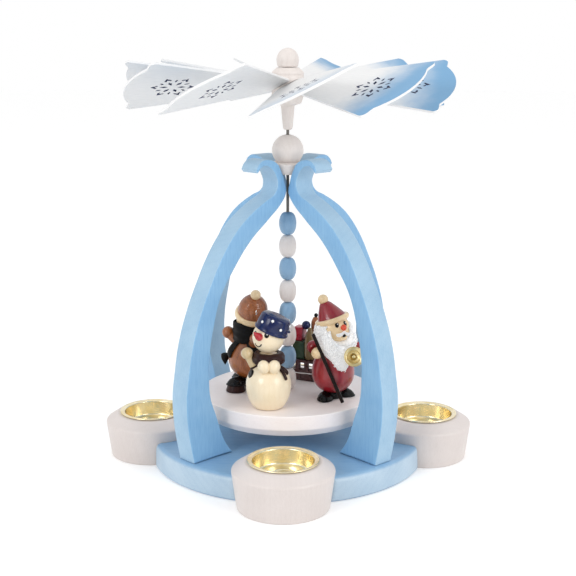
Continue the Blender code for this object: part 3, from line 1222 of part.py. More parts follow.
def sled(carousel):
    """Sled with windows in its sides, loaded with parcels and a sack."""
    figure = figure_place("sled_place", carousel, SLED_PLACE_RADIUS, SLED_PLACE_DEG, SLED_FACING_DEG)
    frame = box("sled_frame", (SLED_LENGTH, SLED_WIDTH, SLED_HEIGHT), (0, 0, SLED_HEIGHT / 2), None, figure)
    through = SLED_LENGTH + 2 * OVERRUN
    inner_width = SLED_WIDTH - 2 * SLED_WALL
    deck = SLED_HEIGHT - SLED_WINDOW_SILL - SLED_WINDOW_HEIGHT
    hold = box("sled_hold", (through, inner_width, SLED_WINDOW_HEIGHT),
               (0, 0, SLED_WINDOW_SILL + SLED_WINDOW_HEIGHT / 2), CUTTERS, figure)
    runner_gap = SLED_WINDOW_SILL - deck * 2
    channel = box("sled_channel", (through, inner_width, runner_gap + OVERRUN),
                  (0, 0, (runner_gap - OVERRUN) / 2), CUTTERS, figure)
    cut(frame, hold, channel)
    pitch = (SLED_LENGTH - SLED_WALL) / SLED_WINDOW_COUNT
    for i in range(SLED_WINDOW_COUNT):
        centre = (i - (SLED_WINDOW_COUNT - 1) / 2) * pitch
        window_size = (SLED_WINDOW_WIDTH, SLED_WIDTH + 2 * OVERRUN, SLED_WINDOW_HEIGHT * 0.9)
        window_centre = (centre, 0, SLED_WINDOW_SILL + SLED_WINDOW_HEIGHT / 2)
        cut(frame, box(f"sled_window_{i}", window_size, window_centre, CUTTERS, figure))
    settle(frame, "dark_brown_wood")

    load_z = SLED_HEIGHT + GAP
    green_x = -GREEN_BOX_LENGTH * 0.8
    parcels = box("sled_parcels", (GREEN_BOX_LENGTH, SLED_WIDTH * 0.7, GREEN_BOX_HEIGHT),
                  (green_x, 0, load_z + GREEN_BOX_HEIGHT / 2), None, figure)
    red_z = load_z + GREEN_BOX_HEIGHT
    red = box("red_parcel", (RED_BOX_LENGTH, SLED_WIDTH * 0.5, RED_BOX_HEIGHT + OVERRUN),
              (green_x, 0, red_z + (RED_BOX_HEIGHT - OVERRUN) / 2), CUTTERS, figure)
    ball_place = (green_x + RED_BOX_LENGTH / 2, 0, red_z + RED_BOX_HEIGHT + BALL_PARCEL_RADIUS / 3)
    blue = ball("ball_parcel", (BALL_PARCEL_RADIUS,) * 3, SMALL_STEPS, CUTTERS, figure, placed(ball_place))
    join(parcels, red, blue)
    settle(parcels, "green_wood")

    neck = SACK_RADIUS * 0.4
    profile = arc(0.0, SACK_HEIGHT + SACK_TIE_RADIUS * 6, SACK_TIE_RADIUS, SACK_TIE_RADIUS, 90, -40, 3)
    profile += [
        (neck, SACK_HEIGHT + SACK_TIE_RADIUS * 4), (neck * 1.1, SACK_HEIGHT),
        (SACK_RADIUS * 0.8, SACK_HEIGHT * 0.9), (SACK_RADIUS, SACK_HEIGHT * 0.6),
        (SACK_RADIUS, SACK_HEIGHT * 0.1),
        (SACK_RADIUS * 0.85, 0.0), (0.0, 0.0),
    ]
    sack = turned("sled_sack", profile, FIGURE_STEPS - 4, parent=figure,
                  matrix=placed((SACK_RADIUS * 0.8, 0, load_z)))
    settle(sack, "olive_wood")


def build():
    base_plate()
    bearing_cup()
    holders_and_cups()
    arches()
    guide_ball()
    carousel = add_empty("carousel", location=(0, 0, TURNTABLE_TOP_Z))
    spindle(carousel)
    turntable(carousel)
    beads(carousel)
    snowman(carousel)
    santa(carousel)
    child(carousel)
    sled(carousel)
    impeller = add_empty("impeller", carousel, (0, 0, HUB_Z - TURNTABLE_TOP_Z))
    hub(impeller)
    blades(impeller)
    cap_knob(impeller)


build()
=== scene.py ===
# %% [markdown]
# # Candle carousel
#
# A wooden table carousel: four tea lights warm the air, the air turns a bladed impeller on top, and a disc
# of small turned figures goes round with it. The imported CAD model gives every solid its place. This lesson
# dresses those solids: it builds each visible piece again with soft edges and fine detail, gives it the
# finish that the real piece has, and puts it under plain studio light.

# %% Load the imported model
import math
import random

import bmesh
import bpy
from mathutils import Matrix, Vector


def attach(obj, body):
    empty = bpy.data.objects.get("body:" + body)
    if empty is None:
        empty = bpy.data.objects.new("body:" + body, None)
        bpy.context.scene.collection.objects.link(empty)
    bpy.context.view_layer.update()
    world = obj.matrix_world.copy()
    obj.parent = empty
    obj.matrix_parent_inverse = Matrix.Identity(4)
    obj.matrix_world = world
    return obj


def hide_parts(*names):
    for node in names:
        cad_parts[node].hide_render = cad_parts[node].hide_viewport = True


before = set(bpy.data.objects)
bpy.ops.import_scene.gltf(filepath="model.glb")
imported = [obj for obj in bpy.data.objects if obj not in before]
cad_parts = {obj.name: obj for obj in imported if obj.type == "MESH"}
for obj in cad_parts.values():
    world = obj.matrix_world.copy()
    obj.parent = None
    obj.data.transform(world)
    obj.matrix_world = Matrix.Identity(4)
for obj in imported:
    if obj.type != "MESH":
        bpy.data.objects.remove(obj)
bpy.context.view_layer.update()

# %% [markdown]
# ## Camera
#
# The photograph was taken from a little above the middle of the carousel with a long lens, so that the rings
# of the holders are flat ellipses and the arches hardly converge. The camera's place was found by fitting the
# rims of the holders and the tips of the arches, and the whole frame of 576 by 576 pixels follows from it.
# The Standard view keeps each colour as it was mixed, so that it can be compared with the photograph.

# %% Camera
CAMERA_PLACE = (0.0226, -0.7738, 0.2902)
CAMERA_PITCH_DEG = 77.68
CAMERA_TURN_DEG = 1.66
LENS_MM = 70.755
SENSOR_MM = 36.0


def new_object(name, data):
    """An object that is linked into the scene."""
    obj = bpy.data.objects.new(name, data)
    bpy.context.scene.collection.objects.link(obj)
    return obj


camera_data = bpy.data.cameras.new("camera")
camera_data.sensor_width = SENSOR_MM
camera_data.lens = LENS_MM
camera = new_object("camera", camera_data)
camera.location = CAMERA_PLACE
camera.rotation_euler = (math.radians(CAMERA_PITCH_DEG), 0.0, math.radians(CAMERA_TURN_DEG))
bpy.context.scene.camera = camera
bpy.context.scene.view_settings.view_transform = "Standard"
print("camera stands", round(camera.location.length, 3), "m from the middle of the base")

# %% [markdown]
# ## Node trees and colours
#
# A finish is a tree of shader nodes. One function adds a node, sets its values and makes its links, and a few
# more add the nodes that every finish needs, which keeps each finish short enough to read. Colours are picked
# as sRGB hex values, and the shader works in linear light, so one function turns the one into the other.


# %% Nodes and colours
MM_PER_M = 1000.0


def linear(hex_colour, alpha=1.0):
    """Linear RGBA of an sRGB hex colour."""
    channels = [int(hex_colour[i:i + 2], 16) / 255 for i in (0, 2, 4)]
    return (*[c / 12.92 if c <= 0.04045 else ((c + 0.055) / 1.055) ** 2.4 for c in channels], alpha)


def add(tree, kind, inputs=None, stops=None, **settings):
    """A node with its settings, its input values or links, and the colour stops of a ramp."""
    node = tree.nodes.new("ShaderNode" + kind)
    for key, value in settings.items():
        setattr(node, key, value)
    for socket, value in (inputs or {}).items():
        if isinstance(value, bpy.types.NodeSocket):
            tree.links.new(value, node.inputs[socket])
        else:
            node.inputs[socket].default_value = value
    if stops:
        ramp = node.color_ramp
        while len(ramp.elements) < len(stops):
            ramp.elements.new(0.5)
        for element, (position, colour) in zip(ramp.elements, stops):
            element.position = position
            element.color = colour
    return node


def remap(tree, value, low, high, to_low, to_high):
    """A value carried over from one range to another, and held at the ends."""
    inputs = {0: value, 1: low, 2: high, 3: to_low, 4: to_high}
    return add(tree, "MapRange", inputs).outputs[0]


def calc(tree, operation, *values):
    """One step of arithmetic."""
    return add(tree, "Math", dict(enumerate(values)), operation=operation).outputs[0]


def mixed(tree, share, first, second):
    """A colour between two others."""
    return add(tree, "Mix", {0: share, 6: first, 7: second}, data_type="RGBA").outputs[2]


def noise(tree, vector, scale, detail):
    """Cloudy values from 0 to 1."""
    return add(tree, "TexNoise", {"Vector": vector, "Scale": scale, "Detail": detail}).outputs["Fac"]


def stretched(tree, vector, factors):
    """Coordinates multiplied axis by axis. A factor below 1 draws out what is made from them."""
    return add(tree, "VectorMath", {0: vector, 1: factors}, operation="MULTIPLY").outputs[0]


def normal_parts(tree):
    """The surface's direction in the piece's own frame, as three values."""
    return add(tree, "SeparateXYZ", {0: add(tree, "TexCoord").outputs["Normal"]}).outputs


def new_tree(name):
    """An empty material with its tree."""
    material = bpy.data.materials.new(name)
    material.use_nodes = True
    material.node_tree.nodes.clear()
    return material, material.node_tree


def new_finish(name):
    """An empty material with its tree and the coordinates of the piece in millimetres."""
    material, tree = new_tree(name)
    coordinates = add(tree, "TexCoord").outputs["Object"]
    return material, tree, stretched(tree, coordinates, (MM_PER_M,) * 3)


def close_finish(tree, **sockets):
    """The principled shader and the output, with sockets named in words joined by underscores."""
    inputs = {key.replace("_", " "): value for key, value in sockets.items()}
    shader = add(tree, "BsdfPrincipled", inputs)
    add(tree, "OutputMaterial", {"Surface": shader.outputs[0]})


# %% [markdown]
# ## Stained wood
#
# The boards and the turned pieces are a pale close-grained wood such as maple or beech. The stain soaks in
# unevenly: growth rings stay as faint bands, and short pores take more colour and show as fine dark strokes
# along the grain. The rings are drawn as shells round a pith that lies outside the piece, so a turned piece
# shows ovals and a board shows long lines, as the real ones do. Beech pores are about 0.1 mm wide, which is
# too fine for the picture, so they are drawn 0.35 mm wide. A board's flat faces, told apart by the surface's
# direction, get two colours of their own that are darker than its sawn edges: this is painted shade.

# %% Stained wood
PORE_WIDTH_MM = 0.35
PORE_STRETCH_SHARE = 0.05
RING_SPACING_MM = 3.2
PITH_OFFSET_MM = (60.0, 35.0, 20.0)
WAVE_TURNS_PER_UNIT = 20 / (2 * math.pi)


def grain_factors(tree, in_mm, grain_axis):
    """Values from 0 to 1 for the growth rings and for the pores of a wood with its grain along one axis."""
    stretch = [1.0, 1.0, 1.0]
    stretch["XYZ".index(grain_axis)] = PORE_STRETCH_SHARE
    drawn_out = stretched(tree, in_mm, stretch)
    pores = noise(tree, drawn_out, 1 / PORE_WIDTH_MM, 3.0)
    shifted = add(tree, "VectorMath", {0: drawn_out, 1: PITH_OFFSET_MM}, operation="ADD").outputs[0]
    rings = add(
        tree, "TexWave",
        {"Vector": shifted, "Scale": 1 / (RING_SPACING_MM * WAVE_TURNS_PER_UNIT), "Distortion": 2.0,
         "Detail": 2.0, "Detail Scale": 0.06},
        wave_type="RINGS", rings_direction=grain_axis)
    return rings.outputs["Fac"], pores


def stained_wood(name, pale, deep, grain_axis="Z", contrast=0.5, roughness=0.42, coat=0.12,
                 coat_roughness=0.35, face=None, face_axis=2):
    """Satin wood, from its palest colour to that of its pores. Flat faces may have two darker ones: painted
    shade.
    """
    material, tree, in_mm = new_finish(name)
    rings, pores = grain_factors(tree, in_mm, grain_axis)
    pore_lines = remap(tree, pores, 0.42, 0.72, 0.0, 1.0)
    ring_bands = remap(tree, rings, 0.4, 1.0, 0.0, 0.13)
    soaked = calc(tree, "MULTIPLY_ADD", pore_lines, 0.6, ring_bands)
    uneven = remap(tree, noise(tree, in_mm, 0.05, 2.0), 0.3, 0.7, -0.2, 0.35)
    depth = calc(tree, "ADD", soaked, uneven)
    share = add(tree, "Math", {0: depth, 1: contrast}, operation="MULTIPLY", use_clamp=True).outputs[0]
    colour = mixed(tree, share, linear(pale), linear(deep))
    # Flat faces take their own colours, which are darker than the edges: painted shade.
    if face:
        shaded_face_colour = mixed(tree, share, linear(face[0]), linear(face[1]))
        upright = calc(tree, "ABSOLUTE", normal_parts(tree)[face_axis])
        colour = mixed(tree, remap(tree, upright, 0.5, 0.8, 0.0, 1.0), colour, shaded_face_colour)
    gloss = remap(tree, pores, 0.3, 0.7, roughness - 0.05, roughness + 0.1)
    relief = add(tree, "Bump", {"Height": pore_lines, "Strength": 0.25, "Distance": -0.00004})
    close_finish(tree, Base_Color=colour, Roughness=gloss, Normal=relief.outputs[0], IOR=1.5,
                 Coat_Weight=coat, Coat_Roughness=coat_roughness)
    return material


# A board's second pair of colours, for its flat faces, is darker than the first: painted shade on the arches'
# broad faces and on the base plate's top.
LIGHT_BLUE = ("A5C6DE", "7BA8CA")
SHADED_FACE_BLUE = ("8BB9DD", "6098CA")
SHADED_TOP_BLUE = ("8EB4D4", "6496C2")
PALE_BLUE = ("B9CFE0", "8BAECB")
MID_BLUE = ("94BBDC", "6C9AC4")
WHITE_GLAZE = ("EAE2DD", "CBBDB6")
# The holders' glaze is the white glaze made darker: painted shade.
SHADED_GLAZE = ("DFD6D2", "C0B3AD")
# The disc's glaze is the white glaze made paler: painted light.
LIT_GLAZE = ("FBF3F1", "E8DAD6")
WAXED_WHITE = ("F4ECE8", "D6CAC5")
board_blue = stained_wood("light_blue_stained_maple_board", *LIGHT_BLUE, grain_axis="Z", contrast=0.6,
                          face=SHADED_FACE_BLUE, face_axis=1)
flat_blue = stained_wood("light_blue_stained_maple_plate", *PALE_BLUE, grain_axis="X", coat=0.3,
                         contrast=0.6, face=SHADED_TOP_BLUE)
bead_blue = stained_wood("blue_stained_turned_beech", *MID_BLUE, roughness=0.3, coat=0.3)
white_bead = stained_wood("white_waxed_turned_beech", *WAXED_WHITE, contrast=0.42, roughness=0.3, coat=0.3)
white_upright = stained_wood("white_glazed_upright_beech", *WHITE_GLAZE, contrast=0.42)
shaded_holder_glaze = stained_wood("white_glazed_holder_beech_painted_shade", *SHADED_GLAZE, contrast=0.3)
lit_disc_glaze = stained_wood("white_glazed_disc_beech_painted_light", *LIT_GLAZE, grain_axis="X", contrast=0.4)
print("stained woods:", len(bpy.data.materials))

# %% [markdown]
# ## Metals
#
# The candle cups are drawn from thin sheet brass and polished on a wheel, which leaves very fine circular
# lines round the axis and blurs the highlights a little. Real lines are a few hundredths of a millimetre
# apart, and here they are drawn 0.25 mm apart so that they show. The bell's brass is darker and duller. The
# shaft is drawn steel that has darkened, with lines along its length.

# %% Metals
POLISH_LINE_MM = 0.25


def polished_brass(name, pale="FBF1D4", deep="EEDDAE", roughness=0.24):
    """Brass with fine lines round the piece's axis and faint clouds of tarnish."""
    material, tree, in_mm = new_finish(name)
    parts = add(tree, "SeparateXYZ", {0: in_mm}).outputs
    squares = [calc(tree, "MULTIPLY", part, part) for part in parts[:2]]
    radius = calc(tree, "SQRT", calc(tree, "ADD", *squares))
    rings = add(tree, "CombineXYZ", {0: radius, 2: parts[2]}).outputs[0]
    lines = noise(tree, rings, 1 / POLISH_LINE_MM, 2.0)
    tarnish = noise(tree, in_mm, 0.12, 3.0)
    colour = add(tree, "ValToRGB", {0: tarnish}, [(0.3, linear(pale)), (0.7, linear(deep))])
    gloss = remap(tree, lines, 0.3, 0.7, roughness - 0.02, roughness + 0.02)
    relief = add(tree, "Bump", {"Height": lines, "Strength": 0.015, "Distance": 0.00002})
    close_finish(tree, Base_Color=colour.outputs[0], Metallic=1.0, Roughness=gloss, Normal=relief.outputs[0])
    return material


def drawn_steel(name):
    """Dark steel with lines along the piece's axis."""
    material, tree, in_mm = new_finish(name)
    lines = noise(tree, stretched(tree, in_mm, (1.0, 1.0, 0.02)), 4.0, 2.0)
    colour = add(tree, "ValToRGB", {0: lines}, [(0.3, linear("57534F")), (0.7, linear("7E7A76"))])
    gloss = remap(tree, lines, 0.3, 0.7, 0.28, 0.42)
    close_finish(tree, Base_Color=colour.outputs[0], Metallic=1.0, Roughness=gloss)
    return material


brass = polished_brass("polished_sheet_brass")
spun_brass = polished_brass("spun_bell_brass", "F2E2B4", "DCC68C", 0.38)
steel = drawn_steel("drawn_steel")
print("metals:", brass.name, spun_brass.name, steel.name)

# %% [markdown]
# ## Making pieces
#
# Most pieces come from a lathe, so most meshes are a profile turned round an axis. A turner breaks every
# edge with a touch of abrasive: the profile's corners are rounded, and a point is kept close to each round so
# that the flat beside it stays flat. A piece keeps its own frame, so its grain stays with it when it turns.

# %% Profiles and turned meshes
LATHE_STEPS = 128
EDGE_BREAK = 0.0005
AXIS_REACH = 1e-7
SHARP_DEG = 40


def softened(profile, reach=EDGE_BREAK, steps=4):
    """Round each inner corner of a line of (radius, height) points. A third number is its own reach."""
    points = [Vector(point[:2]) for point in profile]
    line = [points[0]]
    for i in range(1, len(points) - 1):
        here = points[i]
        back, on = points[i - 1] - here, points[i + 1] - here
        own = profile[i][2] if len(profile[i]) > 2 else reach
        own = min(own, 0.45 * back.length, 0.45 * on.length)
        if own < AXIS_REACH:
            line.append(here)
            continue
        start, end = here + back.normalized() * own, here + on.normalized() * own
        line.append(here + back.normalized() * min(own * 1.3, 0.48 * back.length))
        for step in range(steps + 1):
            t = step / steps
            line.append(start * (1 - t) ** 2 + here * 2 * t * (1 - t) + end * t ** 2)
        line.append(here + on.normalized() * min(own * 1.3, 0.48 * on.length))
    line.append(points[-1])
    return [(point.x, point.y) for point in line]


def arc(centre_r, centre_z, radius_r, radius_z, start_deg, end_deg, steps=16):
    """Points on an arc of an ellipse, marked as smooth already."""
    points = []
    for i in range(steps + 1):
        angle = math.radians(start_deg + (end_deg - start_deg) * i / steps)
        points.append((centre_r + radius_r * math.cos(angle), centre_z + radius_z * math.sin(angle), 0.0))
    return points


def mesh_from(shape, name):
    """A smooth mesh from a bmesh, with its sharp edges kept."""
    bmesh.ops.recalc_face_normals(shape, faces=shape.faces)
    mesh = bpy.data.meshes.new(name)
    shape.to_mesh(mesh)
    shape.free()
    mesh.shade_smooth()
    mesh.set_sharp_from_angle(angle=math.radians(SHARP_DEG))
    return mesh


def lathe(name, profile, steps=LATHE_STEPS, bored=False):
    """Turn a profile that runs from the top, down the outside, to the bottom."""
    shape = bmesh.new()
    rings = []
    for radius, height in profile:
        if radius < AXIS_REACH:
            rings.append([shape.verts.new((0.0, 0.0, height))])
            continue
        angles = [2 * math.pi * step / steps for step in range(steps)]
        rings.append([shape.verts.new((radius * math.cos(a), radius * math.sin(a), height)) for a in angles])
    for upper, lower in zip(rings, rings[1:] + (rings[:1] if bored else [])):
        for step in range(steps):
            beside = (step + 1) % steps
            corners = [upper[step % len(upper)], lower[step % len(lower)], lower[beside % len(lower)],
                       upper[beside % len(upper)]]
            shape.faces.new(list(dict.fromkeys(corners)))
    return mesh_from(shape, name)


# %% Pieces and places
def place_at(radius, angle_deg, height=0.0):
    """Point at a radius from the axis. Angles start at the front, -Y, and grow towards +X."""
    angle = math.radians(angle_deg)
    return Vector((radius * math.sin(angle), -radius * math.cos(angle), height))


def framed(location=(0, 0, 0), turn_deg=0.0, tilt_deg=0.0, axis="Y"):
    """Matrix that tilts about one axis, turns about Z and then moves."""
    tilt = Matrix.Rotation(math.radians(tilt_deg), 4, axis)
    return Matrix.Translation(location) @ Matrix.Rotation(math.radians(turn_deg), 4, "Z") @ tilt


def piece(name, mesh, finish, body="stand", matrix=None, nodes=()):
    """A piece of the carousel in its place, riding on a body and standing for CAD nodes."""
    obj = new_object(name, mesh)
    if matrix is not None:
        obj.matrix_world = matrix
    if not mesh.materials:
        mesh.materials.append(finish)
    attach(obj, body)
    if nodes:
        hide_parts(*nodes)
    return obj


# %% [markdown]
# ## Candle holders and cups
#
# Each holder is turned in one piece: a foot, a flank that leans out, a round shoulder and a wide chamfer up
# to the cup. The brass cup is pressed from a disc, with a rolled rim, a raised ring in the floor that centres
# the tea light, and a rivet that holds it.

# %% Candle holders
GAP = 0.0003
HOLDER_PLACES = {"front": 0, "right": 90, "back": 180, "left": 270}
HOLDER_CIRCLE = 0.097
HOLDER_HEIGHT = 0.0303
holder_profile = softened([
    (0.0, 0.0189), (0.0193, 0.0189), (0.0209, 0.0303), (0.0252, 0.0303, 0.0008), (0.0333, 0.0250, 0.0014),
    (0.0300, 0.0, 0.0007), (0.0, 0.0),
], steps=8)
holder_mesh = lathe("candle_holder", holder_profile)
for side, angle in HOLDER_PLACES.items():
    seat = framed(place_at(HOLDER_CIRCLE, angle), angle)
    piece(f"turned_holder_{side}", holder_mesh, shaded_holder_glaze, matrix=seat,
          nodes=[f"candle_holder_{side}"])

# %% Brass cups
cup_rim = arc(0.02265, 0.00055, 0.00055, 0.00055, 150, -90, 12)
cup_profile = softened([
    (0.0, -0.0091), (0.0017, -0.0091, 0.0004), (0.0022, -0.0099, 0.0002), (0.0080, -0.0099),
    (0.0087, -0.0093), (0.0094, -0.0093), (0.0101, -0.0099), (0.0168, -0.0099), (0.0185, -0.0094, 0.0012),
    (0.0199, 0.0002, 0.0006), (0.0206, 0.0006, 0.0003), *cup_rim, (0.0206, 0.0), (0.0191, -0.0105, 0.0012),
    (0.0, -0.0105),
], reach=0.0003)
cup_mesh = lathe("brass_cup", cup_profile)
for side, angle in HOLDER_PLACES.items():
    seat = framed(place_at(HOLDER_CIRCLE, angle, HOLDER_HEIGHT + GAP), angle)
    piece(f"candle_cup_{side}", cup_mesh, brass, matrix=seat, nodes=[f"brass_cup_{side}"])
print("holder triangles:", 2 * len(holder_mesh.polygons), "cup triangles:", 2 * len(cup_mesh.polygons))

# %% [markdown]
# ## Base plate
#
# The base is a round plate with a rounded upper edge. A hole saw cut the four notches, whose corners were
# then eased. The plate is turned, and four plugs in the shape of the notches are cut out of it.

# %% Base plate
BASE_RADIUS = 0.0965
BASE_THICKNESS = 0.017
NOTCH_CORNER = 0.003
FLARE_SHARE = 0.1336
NOTCH_STEPS = 64
CUT_OVERRUN = 0.004


def notch_plan(height, grow=GAP):
    """Outline of a notch at a height: round a holder, with eased corners, and open past the rim."""
    bowl_radius = 0.0300 + FLARE_SHARE * height + grow
    corner_circle = BASE_RADIUS - NOTCH_CORNER
    reach = bowl_radius + NOTCH_CORNER
    cosine = (corner_circle ** 2 + HOLDER_CIRCLE ** 2 - reach ** 2) / (2 * corner_circle * HOLDER_CIRCLE)
    corner_angle = math.acos(cosine)
    holder = Vector((0.0, -HOLDER_CIRCLE))
    corner = Vector((math.sin(corner_angle), -math.cos(corner_angle))) * corner_circle
    to_holder = (holder - corner).normalized()
    sweep = to_holder.angle_signed(corner.normalized())
    half = []
    for i in range(13):
        half.append(corner + Matrix.Rotation(-sweep * 0.97 * i / 12, 2) @ to_holder * NOTCH_CORNER)
    half.append(half[-1].normalized() * (BASE_RADIUS + CUT_OVERRUN) / math.cos(corner_angle))
    start = math.atan2(half[0].x, half[0].y - holder.y)
    bowl = []
    for i in range(1, NOTCH_STEPS):
        angle = start * (1 - 2 * i / NOTCH_STEPS)
        bowl.append(holder + Vector((math.sin(angle), math.cos(angle))) * bowl_radius)
    return list(reversed(half)) + bowl + [Vector((-point.x, point.y)) for point in half]


def notch_plug(angle_deg):
    """A solid between two outlines of the notch, one below the plate and one above it."""
    shape = bmesh.new()
    low, high = -CUT_OVERRUN, BASE_THICKNESS + CUT_OVERRUN
    turn = Matrix.Rotation(math.radians(angle_deg), 2)
    layers = []
    for height in (low, high):
        layers.append([shape.verts.new((*(turn @ point), height)) for point in notch_plan(height)])
    count = len(layers[0])
    for i in range(count):
        j = (i + 1) % count
        shape.faces.new((layers[0][i], layers[0][j], layers[1][j], layers[1][i]))
    shape.faces.new(list(reversed(layers[0])))
    shape.faces.new(layers[1])
    return new_object("notch_plug", mesh_from(shape, "notch_plug"))


def carve(mesh, plugs, edge=0.0):
    """The mesh with the plugs cut out of it and its cut edges eased."""
    blank = new_object("blank", mesh)
    for plug in plugs:
        tool = blank.modifiers.new("cut", "BOOLEAN")
        tool.operation, tool.solver, tool.object = "DIFFERENCE", "EXACT", plug
    if edge:
        ease = blank.modifiers.new("ease", "BEVEL")
        ease.width, ease.segments, ease.limit_method = edge, 3, "ANGLE"
        ease.angle_limit = math.radians(35)
        ease.miter_outer = "MITER_ARC"
    made = bpy.data.meshes.new_from_object(blank.evaluated_get(bpy.context.evaluated_depsgraph_get()))
    made.name = mesh.name
    for spare in [blank, *plugs]:
        bpy.data.objects.remove(spare, do_unlink=True)
    made.materials.clear()
    made.shade_smooth()
    made.set_sharp_from_angle(angle=math.radians(SHARP_DEG))
    return made


base_profile = [(0.0, 0.0082), (0.0053, 0.0082), (0.0053, BASE_THICKNESS, 0.0003)]
base_profile += arc(BASE_RADIUS - 0.0045, BASE_THICKNESS - 0.0045, 0.0045, 0.0045, 90, 0, 10)
base_profile += [(BASE_RADIUS, 0.0012, 0.0005), (BASE_RADIUS - 0.0012, 0.0, 0.0005), (0.0, 0.0)]
base_mesh = lathe("base_plate", softened(base_profile), steps=256)
base_mesh = carve(base_mesh, [notch_plug(angle) for angle in HOLDER_PLACES.values()], 0.0005)
piece("notched_base", base_mesh, flat_blue, nodes=["base_plate"])

bearing_profile = softened([
    (0.0, 0.0055), (0.0030, 0.0095), (0.0050, 0.0095), (0.0050, 0.0), (0.0, 0.0),
], 0.0003)
piece("needle_bearing", lathe("needle_bearing", bearing_profile), brass,
      matrix=framed((0, 0, 0.0085)), nodes=["bearing_cup"])
print("base triangles:", 2 * len(base_mesh.polygons))

# %% [markdown]
# ## Arches
#
# Four boards are sawn to the same S-curve, and their edges are rounded over with sandpaper. A flat curve with
# its own thickness and a round bevel is just that: the outline is drawn once, smooth along the sweep and with
# corners where the saw turned. The four meet at the top and form a funnel with outward lips.

# %% Arches
ARCH_THICKNESS = 0.0157
ARCH_EDGE = 0.0009
ARCH_FOOT_Z = 0.0173
NECK_RADIUS = 0.00863
ARCH_REACH = 0.08877
ARCH_RISE = 0.1958
OUTER_SHARES = (
    (0.985, 0.110), (1.000, 0.220), (0.976, 0.305), (0.930, 0.410), (0.853, 0.509), (0.756, 0.600),
    (0.636, 0.694), (0.500, 0.770), (0.425, 0.800), (0.328, 0.830), (0.221, 0.857), (0.117, 0.882),
    (0.086, 0.912), (0.104, 0.942), (0.142, 0.965), (0.200, 0.979), (0.243, 0.976),
)
LIP_SHARES = ((0.286, 0.957), (0.305, 0.967))
CREST_SHARES = ((0.272, 0.989), (0.218, 1.000), (0.151, 0.998))
FUNNEL_POINTS = ((0.0176, 0.1936), (0.0150, 0.1913), (0.0112, 0.1842), (NECK_RADIUS, 0.1758))
INNER_SHARES = (
    (0.000, 0.878), (0.044, 0.847), (0.178, 0.796), (0.365, 0.729), (0.530, 0.643), (0.655, 0.560),
    (0.735, 0.450), (0.778, 0.350), (0.782, 0.280), (0.770, 0.215), (0.721, 0.150), (0.643, 0.052),
)


def arch_point(shares, kind):
    """Point of the arch's outline from its shares of the reach and of the rise."""
    return (NECK_RADIUS + shares[0] * ARCH_REACH, shares[1] * ARCH_RISE, kind)


def board(name, outlines, thickness, edge=0.0, resolution=12):
    """A board in the XY plane from its outline and holes, of (x, y, SMOOTH or CORNER) points."""
    curve = bpy.data.curves.new(name, "CURVE")
    curve.dimensions, curve.fill_mode = "2D", "BOTH"
    curve.extrude = thickness / 2 - edge
    curve.bevel_depth, curve.bevel_resolution, curve.offset = edge, 3, -edge
    curve.resolution_u = curve.render_resolution_u = resolution
    for points in outlines:
        spline = curve.splines.new("BEZIER")
        spline.bezier_points.add(len(points) - 1)
        for knot, (x, y, kind) in zip(spline.bezier_points, points):
            knot.co = (x, y, 0.0)
            knot.handle_left_type = knot.handle_right_type = "AUTO" if kind == "SMOOTH" else "VECTOR"
        spline.use_cyclic_u = True
    sheet = new_object(name, curve)
    shape = bmesh.new()
    flat = bpy.data.meshes.new_from_object(sheet.evaluated_get(bpy.context.evaluated_depsgraph_get()))
    shape.from_mesh(flat)
    bmesh.ops.remove_doubles(shape, verts=shape.verts, dist=0.00001)
    bpy.data.objects.remove(sheet, do_unlink=True)
    return mesh_from(shape, name)


arch_outline = [(0.0920, 0.0, "CORNER")]
arch_outline += [arch_point(shares, "SMOOTH") for shares in OUTER_SHARES]
arch_outline += [arch_point(shares, "CORNER") for shares in LIP_SHARES]
arch_outline += [arch_point(shares, "SMOOTH") for shares in CREST_SHARES]
arch_outline += [(x, y, "CORNER") for x, y in FUNNEL_POINTS]
arch_outline += [arch_point(shares, "SMOOTH") for shares in INNER_SHARES]
arch_outline.append(arch_point((0.566, 0.0), "CORNER"))
arch_mesh = board("arch", [arch_outline], ARCH_THICKNESS, ARCH_EDGE)
arch_mesh.transform(Matrix.Rotation(math.radians(90), 4, "X"))
for side, angle in {"front_right": 45, "back_right": 135, "back_left": 225, "front_left": 315}.items():
    piece(f"sawn_arch_{side}", arch_mesh, board_blue,
          matrix=framed((0, 0, ARCH_FOOT_Z), angle - 90), nodes=[f"arch_{side}"])
print("arch triangles:", 2 * len(arch_mesh.polygons))

# %% [markdown]
# ## Shaft, guide ball and turntable
#
# A thin steel shaft stands with a needle tip in the brass bearing, so that it turns with hardly any friction.
# Higher up it runs through a turned ball whose plug sits in the arches' funnel. The turntable is a disc with
# a crisp upper edge and a bevel below, which makes it look thinner than it is.

# %% Shaft, ball and turntable
shaft_profile = softened([(0.0, 0.2477), (0.0010, 0.2477), (0.0010, 0.006), (0.0, 0.0)], 0.0002)
piece("steel_shaft", lathe("steel_shaft", shaft_profile, 24), steel, "carousel",
      framed((0, 0, 0.0143)), ["spindle"])

ball_profile = arc(0.0, 0.0, 0.0108, 0.0108, 80.4, -46, 40)
ball_profile += [(0.01400, -0.0084, 0.0003), (0.01455, -0.0087, 0.0002), (0.01075, -0.0158, 0.0004),
                 (0.0018, -0.0158)]
ball_mesh = lathe("guide_ball", softened(ball_profile), bored=True)
piece("guide_ball_turned", ball_mesh, white_upright,
      matrix=framed((0, 0, 0.2173)), nodes=["guide_ball"])

